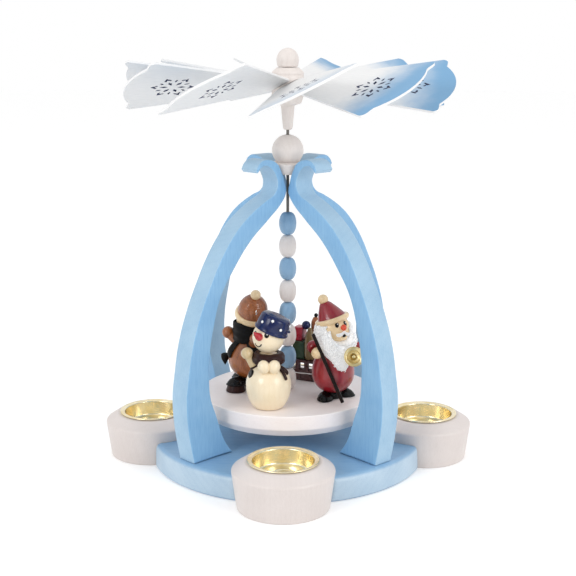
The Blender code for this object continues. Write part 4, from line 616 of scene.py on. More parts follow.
disc_profile = softened([
    (0.0013, 0.0), (0.0614, 0.0, 0.0007), (0.0614, -0.0096, 0.0006), (0.0585, -0.0144, 0.0006),
    (0.0090, -0.0144, 0.0006), (0.0072, -0.0204, 0.0006), (0.0013, -0.0204), (0.0013, -0.0002),
])
piece("turning_disc", lathe("turning_disc", disc_profile, 192, bored=True), lit_disc_glaze,
      "carousel", framed((0, 0, 0.0473)), ["turntable"])

# %% [markdown]
# ## Beads
#
# Eight olive beads hide the shaft between the disc and the neck of the arches. They were dyed in a drum and
# tumbled with wax, so they have more gloss than the boards and a faint grain from end to end.

# %% Beads
BEAD_LENGTH = 0.01564
bead_profile = [(0.0013, BEAD_LENGTH), (0.0021, BEAD_LENGTH, 0.0003)]
bead_profile += arc(0.0021, BEAD_LENGTH / 2, 0.0039, BEAD_LENGTH / 2 - 0.0001, 86, -86, 28)
bead_profile += [(0.0021, 0.0, 0.0003), (0.0013, 0.0)]
bead_meshes = [lathe(f"bead_{tint}", softened(bead_profile), 64, bored=True) for tint in ("white", "blue")]
for i in range(8):
    blue = i % 2
    piece(f"threaded_bead_{i + 1}", bead_meshes[blue], bead_blue if blue else white_bead,
          "carousel",
          framed((0, 0, 0.0476 + i * (BEAD_LENGTH + GAP)), 50 * i), [f"bead_{i + 1}"])
print("beads stand every", round(MM_PER_M * (BEAD_LENGTH + GAP), 2), "mm")

# %% [markdown]
# ## Impeller
#
# Warm air pushes on ten thin blades that stand at about 26 degrees in slots of the hub. Each blade is cut
# from 1.5 mm board, pierced with a six-armed star, glazed white, and sprayed with blue from its tip
# inwards, on its upper side only. The spray fades over nearly four centimetres, and one blade got less of it.

# %% Hub and knob
BLADES = 10
BLADE_STEP_DEG = 360 // BLADES
IMPELLER_Z = 0.2312
BLADE_PITCH_DEG = 25.7
BLADE_FIRST_DEG = 6.76
BLADE_HEIGHT = 0.03034
hub_profile = softened([
    (0.0, 0.0367), (0.0023, 0.0367), (0.0023, 0.0415), (0.0076, 0.0415, 0.0004), (0.01085, 0.0385, 0.0005),
    (0.01085, 0.0369, 0.0), (0.01060, 0.0366, 0.0), (0.01085, 0.0363, 0.0), (0.01085, 0.0228, 0.0005),
    (0.0092, 0.0178, 0.0006), (0.0047, 0.0162, 0.0008), (0.0033, 0.0010, 0.0008), (0.0022, 0.0),
    (0.0013, 0.0), (0.0013, 0.0311), (0.0, 0.0311),
])


def blade_frame(index):
    """Frame of a blade: X outwards, Y across, with the leading edge tipped up."""
    turn_deg = BLADE_FIRST_DEG + BLADE_STEP_DEG * index - 90
    return framed((0, 0, IMPELLER_Z + BLADE_HEIGHT), turn_deg, BLADE_PITCH_DEG, "X")


def slot_plug(index):
    """A box that cuts one blade's slot into the hub."""
    shape = bmesh.new()
    size = Matrix.Diagonal((0.00385, 0.0156, 0.0021, 1.0))
    bmesh.ops.create_cube(shape, size=1.0, matrix=Matrix.Translation((0.010925, 0, 0)) @ size)
    plug = new_object("slot_plug", mesh_from(shape, "slot_plug"))
    plug.matrix_world = framed((0, 0, -IMPELLER_Z)) @ blade_frame(index)
    return plug


hub_mesh = carve(lathe("hub", hub_profile), [slot_plug(i) for i in range(BLADES)])
piece("slotted_hub", hub_mesh, white_upright, "impeller", framed((0, 0, IMPELLER_Z)), ["hub"])

knob_profile = arc(0.0, 0.0045, 0.0076, 0.0082, 90, 0, 24)
knob_profile += [(0.0070, 0.0005, 0.0008), (0.0065, 0.0004, 0.0002), (0.0065, 0.0, 0.0002), (0.0020, 0.0),
                 (0.0020, -0.0042), (0.0, -0.0042)]
piece("domed_knob", lathe("domed_knob", softened(knob_profile)), white_upright, "impeller",
      framed((0, 0, 0.2730)), ["cap_knob"])
print("hub triangles:", 2 * len(hub_mesh.polygons))

# %% Blade finish
SPRAY_START_MM = 66.0
SPRAY_FULL_MM = 104.0
SPRAY_WANDER_MM = 3.0
STAR_PLACE = 0.081
STAR_SHADE_MM = (16.5, 17.5)


def sprayed_blade(name, spray_strength=1.0):
    """White board with blue sprayed on its outer end from above, and the walls of the star's holes darkened
    as painted shade.
    """
    material, tree, in_mm = new_finish(name)
    pores = grain_factors(tree, in_mm, "X")[1]
    fine = remap(tree, pores, 0.42, 0.72, 0.0, 0.4)
    wood = mixed(tree, fine, linear("EFEFEF"), linear("D8DADC"))
    parts = add(tree, "SeparateXYZ", {0: in_mm}).outputs
    mist = noise(tree, in_mm, 0.08, 3.0)
    wander = remap(tree, mist, 0.3, 0.7, -SPRAY_WANDER_MM, SPRAY_WANDER_MM)
    reach = calc(tree, "ADD", parts[0], wander)
    fade = add(tree, "MapRange", {0: reach, 1: SPRAY_START_MM, 2: SPRAY_FULL_MM, 3: 0.0, 4: 0.95},
               interpolation_type="SMOOTHSTEP").outputs[0]
    facing_up = normal_parts(tree)[2]
    from_above = calc(tree, "MULTIPLY", fade, remap(tree, facing_up, 0.5, 0.9, 0.0, 1.0))
    spray = calc(tree, "MULTIPLY", from_above, spray_strength)
    colour = mixed(tree, spray, wood, linear("6AA3CE"))
    # The walls of the star's holes are drawn dark blue-grey: painted shade inside the holes.
    flat = add(tree, "CombineXYZ", {0: parts[0], 1: parts[1]}).outputs[0]
    star_centre = (MM_PER_M * STAR_PLACE, 0.0, 0.0)
    from_star = add(tree, "VectorMath", {0: flat, 1: star_centre}, operation="DISTANCE").outputs["Value"]
    near_star = remap(tree, from_star, *STAR_SHADE_MM, 1.0, 0.0)
    on_edge = remap(tree, calc(tree, "ABSOLUTE", facing_up), 0.3, 0.6, 1.0, 0.0)
    colour = mixed(tree, calc(tree, "MULTIPLY", near_star, on_edge), colour, linear("4C5470"))
    gloss = remap(tree, pores, 0.3, 0.7, 0.42, 0.55)
    relief = add(tree, "Bump", {"Height": fine, "Strength": 0.2, "Distance": -0.00003})
    close_finish(tree, Base_Color=colour, Roughness=gloss, Normal=relief.outputs[0], IOR=1.5)
    return material


# %% Blades
FAINT_SPRAY_SHARE = 0.3
FAINT_BLADE = 0
STAR_RADIUS = 0.0150
STAR_ARMS = 6
BOARD_THICKNESS = 0.0015
SHOULDER_ROUND = 0.0039
BULGE_DEPTH = 0.0081
BULGE_HALF = 0.0256
SLIT_SHARES = ((0.20, 0.0), (0.40, 0.085), (0.60, 0.0), (0.40, -0.085))
BETWEEN_SHARES = ((0.44, 0.25), (0.56, 0.39), (0.68, 0.39), (0.56, 0.25))
ARROW_SHARES = ((1.0, 0.0), (0.74, 0.17), (0.68, 0.12), (0.80, 0.0), (0.68, -0.12), (0.74, -0.17))
star_holes = []
for arm in range(STAR_ARMS):
    turn = Matrix.Rotation(2 * math.pi * arm / STAR_ARMS, 2)
    for shares in (SLIT_SHARES, ARROW_SHARES, BETWEEN_SHARES):
        points = [turn @ Vector(share) * STAR_RADIUS for share in shares]
        star_holes.append([(STAR_PLACE + point.x, point.y, "CORNER") for point in points])

shoulder = arc(0.1005, 0.0316, SHOULDER_ROUND, SHOULDER_ROUND, 80, 0, 12)
half_blade = [(0.0093, 0.0075), *[point[:2] for point in shoulder], (0.1044, 0.0282)]
bulge_radius = (BULGE_DEPTH ** 2 + BULGE_HALF ** 2) / (2 * BULGE_DEPTH)
bulge_deg = math.degrees(math.asin(BULGE_HALF / bulge_radius))
bulge = arc(0.1125 - bulge_radius, 0.0, bulge_radius, bulge_radius, bulge_deg, -bulge_deg, 32)
blade_outline = half_blade + [point[:2] for point in bulge] + [(x, -y) for x, y in reversed(half_blade)]
blade_corners = [(x, y, "CORNER") for x, y in blade_outline]
blade_mesh = board("blade", [blade_corners, *star_holes], BOARD_THICKNESS, resolution=1)
blade_finish = sprayed_blade("white_glazed_board_sprayed_blue")
faint_finish = sprayed_blade("white_glazed_board_faintly_sprayed", FAINT_SPRAY_SHARE)
faint_mesh = blade_mesh.copy()
for i in range(BLADES):
    mesh, finish = (faint_mesh, faint_finish) if i == FAINT_BLADE else (blade_mesh, blade_finish)
    piece(f"pierced_blade_{i + 1:02d}", mesh, finish, "impeller", blade_frame(i),
          [f"blade_{i + 1:02d}"])
print("blade triangles:", 2 * len(blade_mesh.polygons))

# %% [markdown]
# ## Lacquer and paint
#
# The figures are turned from the same pale wood, stained in strong colours or left bare, and dipped in clear
# lacquer, so that each curve carries a small bright highlight. Boots, hat, scarf and sled are brushed with
# opaque paint, which fills the grain and lies in faint brush ridges about 0.3 mm apart.

# %% Lacquer and paint
BRUSH_RIDGE_MM = 0.3


def lacquered_wood(name, pale, deep, grain_axis="Z", contrast=0.5):
    """Stained or bare wood under clear glossy lacquer."""
    return stained_wood(name, pale, deep, grain_axis, contrast, roughness=0.32, coat=0.5, coat_roughness=0.1)


def brushed_paint(name, hex_colour, worn_hex, roughness=0.32, shine=0.5):
    """Opaque paint with faint ridges, a little paler where handling has thinned it."""
    material, tree, in_mm = new_finish(name)
    ridges = noise(tree, stretched(tree, in_mm, (1.0, 1.0, 0.15)), 1 / BRUSH_RIDGE_MM, 2.0)
    patches = noise(tree, in_mm, 0.35, 3.0)
    thin = remap(tree, patches, 0.35, 0.75, 0.0, 0.7)
    colour = mixed(tree, thin, linear(hex_colour), linear(worn_hex))
    gloss = remap(tree, patches, 0.3, 0.7, roughness - 0.06, roughness + 0.1)
    relief = add(tree, "Bump", {"Height": ridges, "Strength": 0.15, "Distance": 0.00004})
    close_finish(tree, Base_Color=colour, Roughness=gloss, Normal=relief.outputs[0], IOR=1.5,
                 Specular_IOR_Level=shine, Coat_Weight=0.4 * shine, Coat_Roughness=0.12)
    return material


cream_lacquer = lacquered_wood("cream_stained_lacquered_maple", "F6E6C8", "DDBA84", contrast=0.3)
bare_lacquer = lacquered_wood("bare_lacquered_maple", "F0D6AC", "CFA670", "X", contrast=0.6)
mitten_lacquer = lacquered_wood("tan_lacquered_maple", "DCC69C", "B08F5C", contrast=0.5)
red_lacquer = lacquered_wood("red_stained_lacquered_maple", "981624", "500812", contrast=0.8)
brown_lacquer = lacquered_wood("brown_stained_lacquered_maple", "A65E2C", "48200C", contrast=1.0)
olive_lacquer = lacquered_wood("olive_stained_lacquered_maple", "7A6438", "4C3C20")
black_paint = brushed_paint("black_brushed_paint", "040405", "0C0B0C", 0.2, 0.2)
scarf_paint = brushed_paint("dark_brown_brushed_paint", "240E0C", "3E201C", 0.4, 0.2)
staff_paint = brushed_paint("black_brown_brushed_paint", "120806", "241410", 0.3, 0.15)
matt_black = brushed_paint("matt_black_brushed_paint", "080707", "141212", 0.5, 0.12)
navy_paint = brushed_paint("navy_brushed_paint", "111B46", "1C2A5C", 0.16, 0.35)
# This white serves for real dots and lines, and for the glints in the eyes, which are painted highlights.
white_paint_and_glint = brushed_paint("white_brushed_paint_and_glint", "F6F6F4", "E6E6E4", 0.35)
nose_red_paint = brushed_paint("red_brushed_paint", "B21E2C", "CC4048", 0.25)
nose_orange_paint = brushed_paint("orange_red_brushed_paint", "D8401E", "E86A40", 0.25)
green_paint = brushed_paint("dark_green_brushed_paint", "1E3B26", "35553C", 0.35)
parcel_red_paint = brushed_paint("parcel_red_brushed_paint", "9E1830", "B83A4C", 0.3)
sled_paint = brushed_paint("red_brown_brushed_paint", "3A1A1C", "5A3030", 0.3)
print("finishes so far:", len(bpy.data.materials))

# %% [markdown]
# ## Shapes for the figures
#
# Bodies are turned like eggs with a flat foot. Hands, heads and bobbles are balls. Scarf ends, smiles and
# locks of the beard are drawn-out strokes: an oval that is swept along a line and tapers at both ends. Eyes
# and dots are drops of paint that lie on a ball, placed where the camera sees them in the photograph.

# %% Eggs, balls and strokes
FIGURE_BASE_Z = 0.0476


def barrel(foot, belly, neck, belly_height, height):
    """Profile of a turned body with a flat foot and a flat neck."""
    below = belly_height / math.sqrt(1 - (foot / belly) ** 2)
    above = (height - belly_height) / math.sqrt(1 - (neck / belly) ** 2)
    foot_deg = -math.degrees(math.acos(foot / belly))
    neck_deg = math.degrees(math.acos(neck / belly))
    upper = arc(0.0, belly_height, belly, above, neck_deg, 0, 24)
    lower = arc(0.0, belly_height, belly, below, 0, foot_deg, 24)
    toe_radius, toe_height = lower[-1][:2]
    line = [(0.0, upper[0][1]), *upper, *lower[1:-1], (toe_radius, toe_height, 0.0006), (0.0, toe_height)]
    return softened(line)


def barrel_radius(foot, belly, neck, belly_height, height, at):
    """Radius of such a body at a height."""
    end = neck if at > belly_height else foot
    span = (height - belly_height) if at > belly_height else belly_height
    reach = span / math.sqrt(1 - (end / belly) ** 2)
    return belly * math.sqrt(max(0.0, 1 - ((at - belly_height) / reach) ** 2))


def ball(name, radii, steps=64):
    """A ball with its poles up and down, drawn out to three radii."""
    half_turn = [math.radians(angle) for angle in range(90, -91, -6)]
    mesh = lathe(name, [(math.cos(angle), math.sin(angle)) for angle in half_turn], steps)
    mesh.transform(Matrix.Diagonal((*radii, 1.0)))
    return mesh


def stroke(shape, path, widths, heights, outwards, sides=10):
    """Sweep an oval along a line of points. It lies flat against the direction that points outwards."""
    rings = []
    for i, point in enumerate(path):
        along = (path[min(i + 1, len(path) - 1)] - path[max(i - 1, 0)]).normalized()
        out = outwards[i] - along * outwards[i].dot(along)
        out = out.normalized() if out.length > AXIS_REACH else along.orthogonal().normalized()
        across = along.cross(out)
        ring = []
        for side in range(sides):
            angle = 2 * math.pi * side / sides
            ring.append(shape.verts.new(
                point + across * widths[i] * math.cos(angle) + out * heights[i] * math.sin(angle)))
        rings.append(ring)
    for first, second in zip(rings, rings[1:]):
        for side in range(sides):
            beside = (side + 1) % sides
            shape.faces.new((first[side], first[beside], second[beside], second[side]))
    shape.faces.new(list(reversed(rings[0])))
    shape.faces.new(rings[-1])


def stroke_mesh(name, path, widths, heights, outwards, sides=10):
    """A mesh that holds one stroke."""
    shape = bmesh.new()
    stroke(shape, path, widths, heights, outwards, sides)
    return mesh_from(shape, name)


def smooth_line(points, steps=24):
    """A line of evenly many points through the given ones."""
    curve = []
    count = len(points) - 1
    for i in range(steps + 1):
        place = count * i / steps
        k = min(int(place), count - 1)
        t = place - k
        p0, p1 = points[max(k - 1, 0)], points[k]
        p2, p3 = points[k + 1], points[min(k + 2, count)]
        curve.append(0.5 * (2 * p1 + (p2 - p0) * t + (2 * p0 - 5 * p1 + 4 * p2 - p3) * t ** 2
                            + (3 * p1 - p0 - 3 * p2 + p3) * t ** 3))
    return curve


def tapered(width, steps, ends=0.12, tip=0.15):
    """Widths along a stroke that round off at both ends."""
    widths = []
    for i in range(steps + 1):
        share = min(i / steps, 1 - i / steps) / ends
        round_share = 1 if share >= 1 else tip + (1 - tip) * math.sqrt(max(0.0, 1 - (1 - share) ** 2))
        widths.append(width * round_share)
    return widths


view = camera.rotation_euler.to_matrix()
VIEW_RIGHT, VIEW_UP, VIEW_TOWARDS = view.col[0], view.col[1], view.col[2]


def seen_on_ball(centre, radius, across, up):
    """World point and outward direction on a ball, from its place in the picture relative to the centre."""
    towards = math.sqrt(max(0.0, radius ** 2 - across ** 2 - up ** 2))
    out = (VIEW_RIGHT * across + VIEW_UP * up + VIEW_TOWARDS * towards).normalized()
    return centre + out * radius, out


def on_head(azimuth_deg, elevation_deg):
    """Direction from a head's centre in the figure's frame, from straight ahead."""
    azimuth, elevation = math.radians(azimuth_deg), math.radians(elevation_deg)
    return Vector((math.sin(azimuth) * math.cos(elevation), -math.cos(azimuth) * math.cos(elevation),
                   math.sin(elevation)))


def facing(point, out):
    """Frame at a point with its Z along a direction."""
    return Matrix.Translation(point) @ out.to_track_quat("Z", "Y").to_matrix().to_4x4()


def drop(name, radius, height, finish, slot, point, out, stretch=1.0):
    """A drop of paint on a surface."""
    mesh = ball(name, (radius, radius * stretch, height), 32)
    return piece(name, mesh, finish, "carousel", facing(point, out))


def part_of(figure, name, mesh, finish, local=None, nodes=()):
    """A piece of one figure, placed in the figure's own frame."""
    return piece(name, mesh, finish, "carousel", figure @ (local or Matrix()), nodes)


def turned_part(figure, name, profile, steps, finish, local=None, nodes=()):
    """A turned piece of one figure."""
    return part_of(figure, name, lathe(name, profile, steps), finish, local, nodes)


def ball_part(figure, name, radii, steps, finish, local=None, nodes=()):
    """A ball of one figure, from its radius or from three of them."""
    if not isinstance(radii, tuple):
        radii = (radii,) * 3
    return part_of(figure, name, ball(name, radii, steps), finish, local, nodes)


def painted_eye(figure, side, head, head_radius, out, radius, stretch, glint_size, glint_share):
    """A drop of black paint on a head, and a white glint up and to the right of it as the camera sees it: a
    painted highlight.
    """
    drop(f"{figure}_eye_{side}", radius, 0.0003, black_paint, "black_wood", head + out * head_radius, out,
         stretch)
    # The glint is a painted highlight: a white drop where a lamp would be mirrored in the eye.
    glint = (out + glint_share * VIEW_RIGHT + 0.05 * VIEW_UP).normalized()
    drop(f"{figure}_glint_{side}", *glint_size, white_paint_and_glint, "white_wood",
         head + glint * (head_radius + 0.00025), glint)


def painted_smile(name, points, head, width, height):
    """A fine black line through points on a head."""
    path = smooth_line(points, 20)
    outwards = [point - head for point in path]
    mesh = stroke_mesh(name, path, tapered(width, 20), tapered(height, 20), outwards)
    piece(name, mesh, black_paint, "carousel")


# %% [markdown]
# ## Snowman
#
# A cream egg for the body, a ball for the head, a carrot, and an upturned cooking pot with white dots for a
# hat. One mitten is raised, and two round hands lie on the chest below the scarf.

# %% Snowman's body, head and nose
snowman = framed(place_at(0.0416, -16.5, FIGURE_BASE_Z), -31.3)
SNOWMAN_SIZES = (0.0098, 0.0154, 0.0060, 0.0155, 0.0300)
HEAD_HEIGHT = 0.0486
HEAD_RADIUS = 0.0108
snow_head = snowman @ Vector((0, 0, HEAD_HEIGHT))
body_profile = barrel(*SNOWMAN_SIZES)
body_profile = [(0.0, 0.0374), (0.0060, 0.0374), *body_profile[1:]]
turned_part(snowman, "snowman_egg", body_profile, LATHE_STEPS, cream_lacquer,
            nodes=["snowman_body"])
ball_part(snowman, "snowman_ball_head", HEAD_RADIUS, 96, cream_lacquer,
          framed((0, 0, HEAD_HEIGHT)), ["snowman_head"])
for name, angle, lean in (("snowman_hand_one", 18.0, -12), ("snowman_hand_two", 53.0, 12)):
    hand = framed(place_at(0.0114, angle, 0.0308), angle, lean, "Y")
    ball_part(snowman, name, (0.0042, 0.0040, 0.0046), 48, cream_lacquer, hand)
mitten_profile = softened([
    *arc(0.0, 0.0075, 0.0041, 0.0041, 90, -40, 20), (0.0031, 0.0030, 0.001), (0.0036, -0.0020, 0.0008),
    (0.0, -0.0020),
])
mitten_line = place_at(0.0152, -60, 0.0372) - place_at(0.0108, -60, 0.0300)
mitten = facing(place_at(0.0105, -60, 0.0305), mitten_line.normalized())
turned_part(snowman, "snowman_mitten", mitten_profile, 64, mitten_lacquer, mitten)

nose_profile = softened([
    (0.0, 0.0081), (0.0005, 0.0079, 0.0003), (0.0015, 0.0048, 0.001), (0.0027, 0.0010, 0.001),
    (0.0024, -0.0010, 0.0008), (0.0, -0.0016),
])
nose_root = Vector((0, 0, HEAD_HEIGHT)) + on_head(0, 11) * HEAD_RADIUS
turned_part(snowman, "carrot_nose", nose_profile, 48, nose_red_paint,
            framed(nose_root, 0, 54, "X"), ["snowman_nose"])

# %% Snowman's eyes, smile and button
eye_point = seen_on_ball(snow_head, HEAD_RADIUS, -0.0010, 0.0014)[0]
eye_local = snowman.inverted() @ eye_point - Vector((0, 0, HEAD_HEIGHT))
for side, sign in (("left", 1), ("right", -1)):
    local = Vector((sign * eye_local.x, eye_local.y, eye_local.z))
    out = (snowman.to_3x3() @ local).normalized()
    painted_eye("snowman", side, snow_head, HEAD_RADIUS, out, 0.0016, 1.15, (0.00055, 0.0002), 0.045)

smile = [(-0.0089, -0.0037), (-0.0079, -0.0055), (-0.0065, -0.0063), (-0.0052, -0.0057), (-0.0044, -0.0045)]
smile_points = [seen_on_ball(snow_head, HEAD_RADIUS, *point)[0] for point in smile]
painted_smile("snowman_smile", smile_points, snow_head, 0.00042, 0.0003)

BUTTON_HEIGHT = 0.0242
button_place = place_at(barrel_radius(*SNOWMAN_SIZES, BUTTON_HEIGHT), -35.0, BUTTON_HEIGHT)
button_out = Vector((button_place.x, button_place.y, 0.0050)).normalized()
button_profile = softened([
    (0.0, 0.0006), (0.0018, 0.0007, 0.0003), (0.0029, 0.0005, 0.0004), (0.0031, -0.0006), (0.0, -0.0006),
], 0.0002)
turned_part(snowman, "snowman_button", button_profile, 48, black_paint,
            facing(button_place, button_out))

# %% Cooking pot
POT_TILT_DEG = 22.0
POT_TURN_DEG = 31.3
pot_frame = Matrix.Translation((0, 0, HEAD_HEIGHT)) @ Matrix.Rotation(math.radians(POT_TURN_DEG), 4, "Z")
pot_frame = pot_frame @ Matrix.Rotation(math.radians(POT_TILT_DEG), 4, "Y")
pot_frame = pot_frame @ Matrix.Translation((0, 0, 0.0043))
pot_profile = softened([
    (0.0, 0.0123), (0.0060, 0.0121, 0.002), (0.0102, 0.0110, 0.0018), (0.0110, 0.0060, 0.002),
    (0.0112, 0.0020, 0.0006), (0.0116, 0.0018, 0.0004), (0.0118, 0.0009, 0.0005), (0.0116, 0.0, 0.0004),
    (0.0106, 0.0, 0.0002), (0.0098, 0.0030, 0.001), (0.0, 0.0075),
])
turned_part(snowman, "cooking_pot", pot_profile, 96, navy_paint, pot_frame, ["snowman_pot_hat"])
ear_path = []
for i in range(17):
    angle = math.radians(-80 + 160 * i / 16)
    ear_path.append(Vector((0.0104 + 0.0016 * math.cos(angle), 0.0022 * math.sin(angle), 0.0042)))
ear_widths = [0.00055] * len(ear_path)
ear_mesh = stroke_mesh("pot_ear", ear_path, ear_widths, ear_widths, [Vector((0, 0, 1))] * len(ear_path))
part_of(snowman, "pot_ear", ear_mesh, navy_paint, pot_frame)
dot = 0
pot_world = snowman @ pot_frame
DOT_STAND_OFF = 0.0009
for height, radius, first_deg in ((0.0058, 0.01025, -46), (0.0094, 0.00985, -10)):
    for turn in range(5):
        out = place_at(1.0, first_deg + 72 * turn)
        slope = Vector((out.x, out.y, 0.08)).normalized()
        dot += 1
        radius += DOT_STAND_OFF
        drop(f"pot_dot_{dot}", 0.00095, 0.00025, white_paint_and_glint, "white_wood",
             pot_world @ (out * radius + Vector((0, 0, height))), (pot_world.to_3x3() @ slope).normalized())


# %% [markdown]
# ### Scarf
#
# The scarf is a thick ring in soft folds round the neck, and its two ends hang over the shoulder and lie on
# the body. The ring is turned first and then pushed in and out a little, as folds do.


# %% Scarves
def folded_ring(name, profile, folds, depth, seed):
    """A turned ring whose surface rises and falls in slanting folds."""
    mesh = lathe(name, profile, 96, bored=True)
    drift = random.Random(seed)
    phases = [drift.uniform(0, 2 * math.pi) for _ in range(4)]
    for vertex in mesh.vertices:
        angle = math.atan2(vertex.co.y, vertex.co.x)
        height = vertex.co.z * 1000
        wave = math.sin(folds * angle + 1.1 * height + phases[0])
        wave = wave + 0.6 * math.sin(2 * angle - 1.9 * height + phases[1])
        wave += 0.4 * math.sin((folds + 3) * angle + phases[2])
        push = 1 + depth * wave / max(vertex.co.xy.length, 0.001)
        vertex.co.x *= push
        vertex.co.y *= push
    mesh.update()
    return mesh


def scarf_end(figure, name, sizes, lift, start, end, width, finish, body_z=0.0, stand=0.0007):
    """One end of a scarf that lies on the body, between two (angle, height) places."""
    steps = 20
    path, outs = [], []
    for i in range(steps + 1):
        t = i / steps
        angle = start[0] + (end[0] - start[0]) * t
        height = start[1] + (end[1] - start[1]) * t
        radius = barrel_radius(*sizes, height - body_z) + stand + lift * math.sin(math.pi * t)
        out = place_at(1.0, angle)
        path.append(out * radius + Vector((0, 0, height)))
        outs.append(out)
    widths = [width * (0.75 + 0.35 * i / steps) for i in range(steps + 1)]
    widths[0], widths[-1] = width * 0.4, width * 0.8
    heights = [0.0008] * steps + [0.0005]
    mesh = stroke_mesh(name, path, widths, heights, outs, 14)
    return part_of(figure, name, mesh, finish)


def snowman_scarf(name, lift, start, end, width):
    """A strip of the snowman's scarf."""
    scarf_end(snowman, name, SNOWMAN_SIZES, lift, start, end, width, scarf_paint)


snowman_scarf("snowman_scarf_fold", 0.0005, (-30, 0.0345), (-64, 0.0262), 0.0030)
scarf_profile = softened([
    (0.0062, 0.0380), (0.0088, 0.0383, 0.001), (0.0108, 0.0362, 0.0015), (0.0113, 0.0335, 0.0015),
    (0.0104, 0.0308, 0.0015), (0.0085, 0.0296, 0.001), (0.0062, 0.0298),
])
scarf_mesh = folded_ring("snowman_scarf_ring", scarf_profile, 5, 0.00028, 3)
part_of(snowman, "snowman_scarf_ring", scarf_mesh, scarf_paint, nodes=["snowman_scarf"])
snowman_scarf("snowman_scarf_end_one", 0.0004, (82, 0.0322), (86, 0.0212), 0.0012)
snowman_scarf("snowman_scarf_end_two", 0.0006, (92, 0.0322), (106, 0.0240), 0.0015)

# %% [markdown]
# ## Gift bringer
#
# The egg is stained a deep red. The face is bare maple with painted eyes and an orange-red nose, the hat is a
# turned red cone with a bare brim and bobble, and the boots are two black drops. One hand holds a staff that
# leans across the front, the other a small turned brass bell with its mouth towards us.

# %% Gift bringer's body, head and boots
SANTA_TURN_DEG = 36.7
santa = framed(place_at(0.0363, 61.9, FIGURE_BASE_Z), SANTA_TURN_DEG)
SANTA_BELLY = 0.0148
SANTA_HEIGHT = 0.0325
SANTA_SIZES = (0.0070, SANTA_BELLY, 0.0050, 0.0127, SANTA_HEIGHT)
SANTA_BODY_Z = 0.0049
SANTA_HEAD_Z = 0.0490
SANTA_HEAD_RADIUS = 0.0113
santa_head = santa @ Vector((0, 0, SANTA_HEAD_Z))
turned_part(santa, "santa_egg", barrel(*SANTA_SIZES), LATHE_STEPS, red_lacquer,
            framed((0, 0, SANTA_BODY_Z)), ["santa_body"])
ball_part(santa, "santa_ball_head", SANTA_HEAD_RADIUS, 96, bare_lacquer,
          framed((0, 0, SANTA_HEAD_Z)), ["santa_head"])

BOOT_STEPS = 48
BOOT_SHARES = (
    (0.00, 0.96, 0.94), (0.05, 1.00, 1.00), (0.13, 1.00, 1.00), (0.17, 0.95, 0.95), (0.42, 0.88, 0.90),
    (0.68, 0.70, 0.76), (0.87, 0.44, 0.52), (0.97, 0.20, 0.26),
)
BOOT_LENGTH = 0.0142
BOOT_WIDTH = 0.0116
BOOT_HEIGHT = 0.0056


def boot(name, length, width, height):
    """A drop-shaped boot with a flat sole, a high instep and a welt round its foot."""
    shape = bmesh.new()
    rings = []
    for rise, wide, long in BOOT_SHARES:
        ring = []
        for step in range(BOOT_STEPS):
            angle = 2 * math.pi * step / BOOT_STEPS
            toe = 0.12 * height * math.cos(angle) * (1 - rise)
            ring.append(shape.verts.new((
                width / 2 * wide * math.sin(angle) * (1 - 0.10 * math.cos(angle)),
                -length / 2 * long * math.cos(angle) + 0.10 * length * rise, height * rise - toe * rise)))
        rings.append(ring)
    for lower, upper in zip(rings, rings[1:]):
        for step in range(BOOT_STEPS):
            beside = (step + 1) % BOOT_STEPS
            shape.faces.new((lower[step], lower[beside], upper[beside], upper[step]))
    shape.faces.new(list(reversed(rings[0])))
    crown = shape.verts.new((0.0, 0.10 * length, height))
    for step in range(BOOT_STEPS):
        shape.faces.new((rings[-1][step], rings[-1][(step + 1) % BOOT_STEPS], crown))
    return mesh_from(shape, name)


def shod(figure, name, forward, spread, splay_deg, stand, nodes):
    """Two boots with splayed toes and the round sole between them."""
    sole = softened([(0.0, stand + 0.0045), (0.0066, stand + 0.0045, 0.0006), (0.0068, stand), (0.0, stand)])
    turned_part(figure, f"{name}_sole", sole, 64, black_paint, nodes=nodes)
    for side, sign in (("left", -1), ("right", 1)):
        mesh = boot(f"{name}_{side}", BOOT_LENGTH, BOOT_WIDTH, BOOT_HEIGHT)
        part_of(figure, f"{name}_{side}", mesh, black_paint,
                framed((sign * spread, -forward, stand), sign * splay_deg))


shod(santa, "santa_boot", 0.0027, 0.0088, 48.0, 0.0, ["santa_boots"])

# %% Hats
HAT_BRIM_RADIUS = 0.0122
BOBBLE_RADIUS = 0.0036


def turned_hat(figure, who, head, facing_deg, tilts_deg, rise, cone, bobble_z, finish, brim_high,
               brim_low, lean=0.0):
    """A turned hat in three woods: cone, brim and bobble, tilted across the view and away from it."""
    seat = figure.inverted() @ Matrix.Translation(head) @ figure.to_3x3().to_4x4()
    seat = seat @ Matrix.Rotation(math.radians(-facing_deg), 4, "Z")
    across_deg, away_deg = tilts_deg
    seat = seat @ Matrix.Rotation(math.radians(away_deg), 4, "X")
    seat = seat @ Matrix.Rotation(math.radians(across_deg), 4, "Y") @ Matrix.Translation((0, 0, rise))
    cone_mesh = lathe(f"{who}_hat_cone", softened(cone, 0.0006), 96)
    for vertex in cone_mesh.vertices:
        vertex.co.x += lean * max(vertex.co.z - brim_high, 0.0)
    part_of(figure, f"{who}_hat_cone", cone_mesh, finish, seat, [f"{who}_hat"])
    middle, half = (brim_high + brim_low) / 2, (brim_high - brim_low) / 2
    brim = [(0.0092, brim_high - 0.0003), *arc(HAT_BRIM_RADIUS - 0.0016, middle, 0.0016, half, 90, -90, 20),
            (0.0102, brim_low)]
    brim_mesh = lathe(f"{who}_hat_brim", softened(brim), 96, bored=True)
    part_of(figure, f"{who}_hat_brim", brim_mesh, bare_lacquer, seat)
    ball_part(figure, f"{who}_hat_bobble", BOBBLE_RADIUS, 64, bare_lacquer,
              seat @ Matrix.Translation((lean * (bobble_z - brim_high), 0, bobble_z)))


